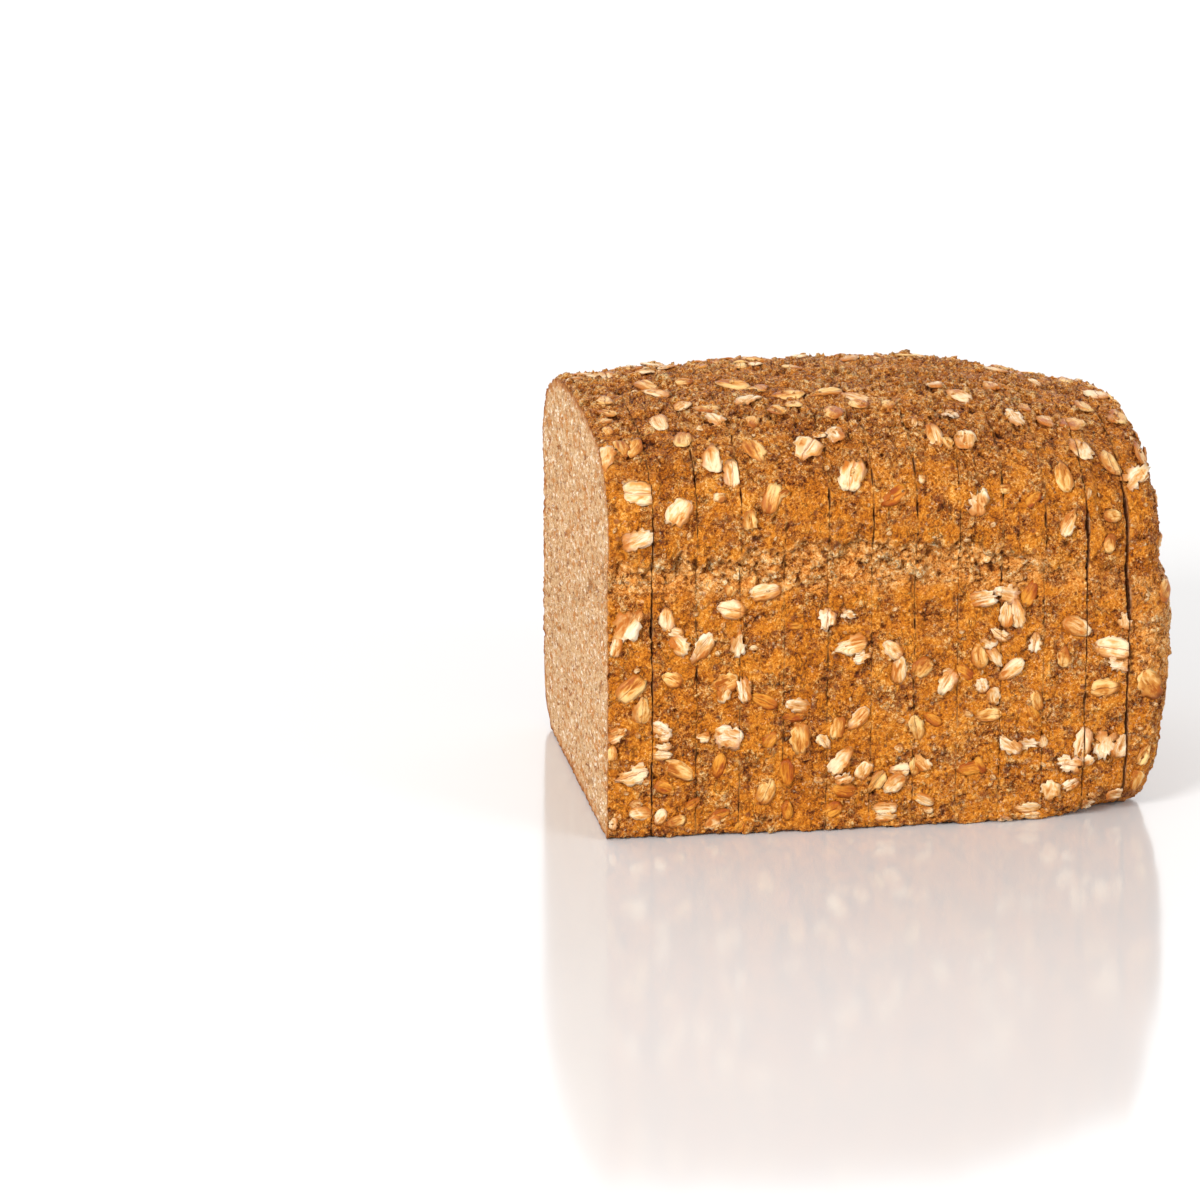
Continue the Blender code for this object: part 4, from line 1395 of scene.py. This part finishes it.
def cutAtSlits(piece, index):
    # what reaches over a slit was cut through with the slice
    cuts = (index, index + 1)
    gapBefore, gapAfter = [knife["flakeGap" if cut in knife["openGaps"] else "closedGap"] for cut in cuts]
    low = index * loaf["pitch"] - halfLength + (gapBefore / 2 if index else 0.0)
    high = (index + 1) * loaf["pitch"] - halfLength - gapAfter / 2
    makeActive(piece)
    bpy.ops.object.mode_set(mode="EDIT")
    cuts = [(low, True)]
    if index < loaf["slices"]:
        cuts.append((high, False))
    for x, inner in cuts:
        bpy.ops.mesh.select_all(action="SELECT")
        bpy.ops.mesh.bisect(plane_co=(x, 0.0, 0.0), plane_no=(1.0, 0.0, 0.0), use_fill=True,
                            clear_inner=inner, clear_outer=not inner)
    # closes what the cut left open, and clears slivers too thin to close
    bpy.ops.mesh.select_all(action="SELECT")
    bpy.ops.mesh.remove_doubles(threshold=knife["flakeWeld"])
    selectOpen()
    bpy.ops.mesh.fill_holes(sides=0)
    selectOpen()
    bpy.ops.mesh.select_linked()
    bpy.ops.mesh.delete(type="VERT")
    faceOutwards()


def joinAll(parts, name):
    deselectAll()
    for part in parts:
        part.select_set(True)
    bpy.context.view_layer.objects.active = parts[0]
    if len(parts) > 1:
        bpy.ops.object.join()
    parts[0].name = name
    parts[0].data.name = name
    return parts[0]


oatLook = {  # ridge, body, rim and crease, where the ramp starts, roughness
    "pale": ((236, 208, 166), (212, 154, 84), (180, 100, 26), (146, 70, 14), 0.30, 0.50),
    "ragged": ((240, 216, 182), (208, 154, 90), (178, 100, 30), (150, 78, 22), 0.30, 0.60),
    "toasted": ((232, 190, 122), (202, 134, 54), (160, 82, 14), (120, 52, 8), 0.32, 0.46),
    "glazed": ((212, 142, 48), (180, 100, 12), (146, 64, 4), (110, 44, 4), 0.32, 0.38),
    "bits": ((238, 204, 156), (208, 150, 82), (174, 100, 36), (160, 92, 36), 0.34, 0.60),
}


def makeOatMaterial(kind):
    *tints, low, roughness = oatLook[kind]
    ridgeTint, bodyTint, rimTint, creaseTint = [colour(*tint) for tint in tints]
    material, tree, shader, _ = newMaterial(f"{kind}_oat", roughness, 0.24)
    grain = addNode(tree, "ShaderNodeAttribute", attribute_name="grain").outputs["Vector"]
    tone = readAttribute(tree, "tone")
    parts = addNode(tree, "ShaderNodeSeparateXYZ", {0: grain})
    u, v = parts.outputs[0], parts.outputs[1]
    stretched = addNode(tree, "ShaderNodeMapping", {"Vector": grain, "Scale": (1.6, 6.0, 1.0)}).outputs[0]
    ridges = noiseNode(tree, stretched, 1.0, 4.0, 0.6, 0.8)
    clouds = noiseNode(tree, grain, 2.1, 3.0, 0.55, 0.6)
    # each flake is toasted at one side and cream at the other
    turn = times(tree, tone, 31.0)
    lean = times(tree, v, mathNode(tree, "SINE", turn))
    lean = timesPlus(tree, u, mathNode(tree, "COSINE", turn), lean)
    shade = timesPlus(tree, mathNode(tree, "SUBTRACT", ridges, 0.5), 0.40, clouds)
    shade = timesPlus(tree, lean, 0.24, shade)
    shade = timesPlus(tree, mathNode(tree, "SUBTRACT", tone, 0.5), 0.16, shade)
    base = rampOf(tree, shade, ((low, rimTint), (low + 0.14, bodyTint), (low + 0.34, ridgeTint)))
    far = mathNode(tree, "SQRT", timesPlus(tree, u, u, times(tree, v, v)))
    sway = mathNode(tree, "SUBTRACT", clouds, 0.5)
    far = timesPlus(tree, sway, 0.9, far)
    rim = stepRange(tree, timesPlus(tree, lean, -0.30, far), 0.36, 0.52)
    base = tinted(tree, base, rim, 0.65, rimTint)
    fringe = stepRange(tree, timesPlus(tree, lean, 0.40, far), 0.48, 0.60)
    base = tinted(tree, base, fringe, 0.60, ridgeTint)
    off = mathNode(tree, "ABSOLUTE", timesPlus(tree, sway, 0.30, v))
    crease = stepRange(tree, off, 0.006, 0.045, 1.0, 0.0)
    crease = times(tree, crease, stepRange(tree, tone, 0.45, 0.85, 0.0, 0.70))
    base = mixColour(tree, crease, base, creaseTint)
    finishLook(tree, shader, base, ridges, 0.0006)
    return material


def makeOats():
    draw = random.Random(oats["seed"])
    shapes = {name: [makeFlakeShape(name, values, seed) for seed in range(5)]
              for name, values in flakeShapes.items()}
    laid, bySlice = [], {}
    places = list(seenPlaces())
    seen = len(places)
    places += list(hiddenPlaces(draw)) + list(loosePlaces(draw))
    for number, (kind, seat, normal, direction, length, width) in enumerate(places):
        if number >= seen:
            if any((seat - other).length < oats["spacing"] * (length + size) / 2 for other, size in laid):
                continue
        laid.append((seat, length))
        shape = draw.choice(shapes[draw.choice(shapesFor[kind])])
        flake = layFlake(shape, kind, seat, normal, direction, length, width, draw)
        low, high = sliceOf(seat.x - length / 2), sliceOf(seat.x + length / 2)
        for index in range(low, high + 1):
            part = copyOf(flake) if index < high else flake
            bySlice.setdefault((kind, index), []).append(part)
    byKind = {}
    for (kind, index), parts in bySlice.items():
        piece = joinAll(parts, f"{kind}_slice_{index}")
        cutAtSlits(piece, index)
        if len(piece.data.polygons):
            byKind.setdefault(kind, []).append(piece)
    for kind, parts in byKind.items():
        piece = joinAll(parts, f"{kind}_oats")
        piece.data.materials.clear()
        piece.data.materials.append(makeOatMaterial(kind))
        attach(piece, "root")
        print(kind, "oats:", len(piece.data.polygons), "faces")
    for group in shapes.values():
        for shape in group:
            bpy.data.objects.remove(shape)
    print("flakes laid:", len(laid))


makeOats()

# stage and light

floorLook = {"colour": colour(206, 204, 203), "roughness": 0.12, "size": 14.0, "height": -0.0002}


def makeFloor():
    deselectAll()
    bpy.ops.mesh.primitive_plane_add(size=floorLook["size"], location=(0.0, 0.0, floorLook["height"]))
    floor = bpy.context.object
    floor.name = "floor"
    bpy.ops.object.transform_apply(location=True)
    material, tree, shader, vector = newMaterial("pale_floor", floorLook["roughness"], 0.9)
    shader.inputs["Base Color"].default_value = floorLook["colour"]
    cloud = noiseNode(tree, vector, 9.0, 2.0)
    low, high = floorLook["roughness"] - 0.02, floorLook["roughness"] + 0.02
    tree.links.new(stepRange(tree, cloud, 0.3, 0.7, low, high), shader.inputs["Roughness"])
    floor.data.materials.append(material)


studio = {
    "surroundings": 0.55,
    "aim": (0.0, 0.0, 0.05),
    "key": {"place": (-1.15, -1.25, 0.95), "size": (0.55, 0.55), "power": 38.0},
    "fill": {"place": (1.25, -1.15, 0.75), "size": (0.8, 0.8), "power": 16.0},
    "backdrop": {"place": (0.0, 3.6, 1.6), "size": (11.0, 4.4), "power": 190.0},
}


def makeLights():
    world = bpy.data.worlds.new("studio")
    bpy.context.scene.world = world
    world.use_nodes = True
    sky = world.node_tree.nodes["Background"]
    sky.inputs["Color"].default_value = (1.0, 1.0, 1.0, 1.0)
    sky.inputs["Strength"].default_value = studio["surroundings"]
    for name in ("key", "fill", "backdrop"):
        values = studio[name]
        data = bpy.data.lights.new(name, "AREA")
        data.shape = "RECTANGLE"
        data.size, data.size_y = values["size"]
        data.energy = values["power"]
        lamp = bpy.data.objects.new(name, data)
        bpy.context.scene.collection.objects.link(lamp)
        lamp.location = values["place"]
        aim = Vector(studio["aim"]) - Vector(values["place"])
        lamp.rotation_euler = aim.to_track_quat("-Z", "Y").to_euler()


makeFloor()
makeLights()
bpy.context.scene.view_settings.view_transform = "Standard"
print("stage made")
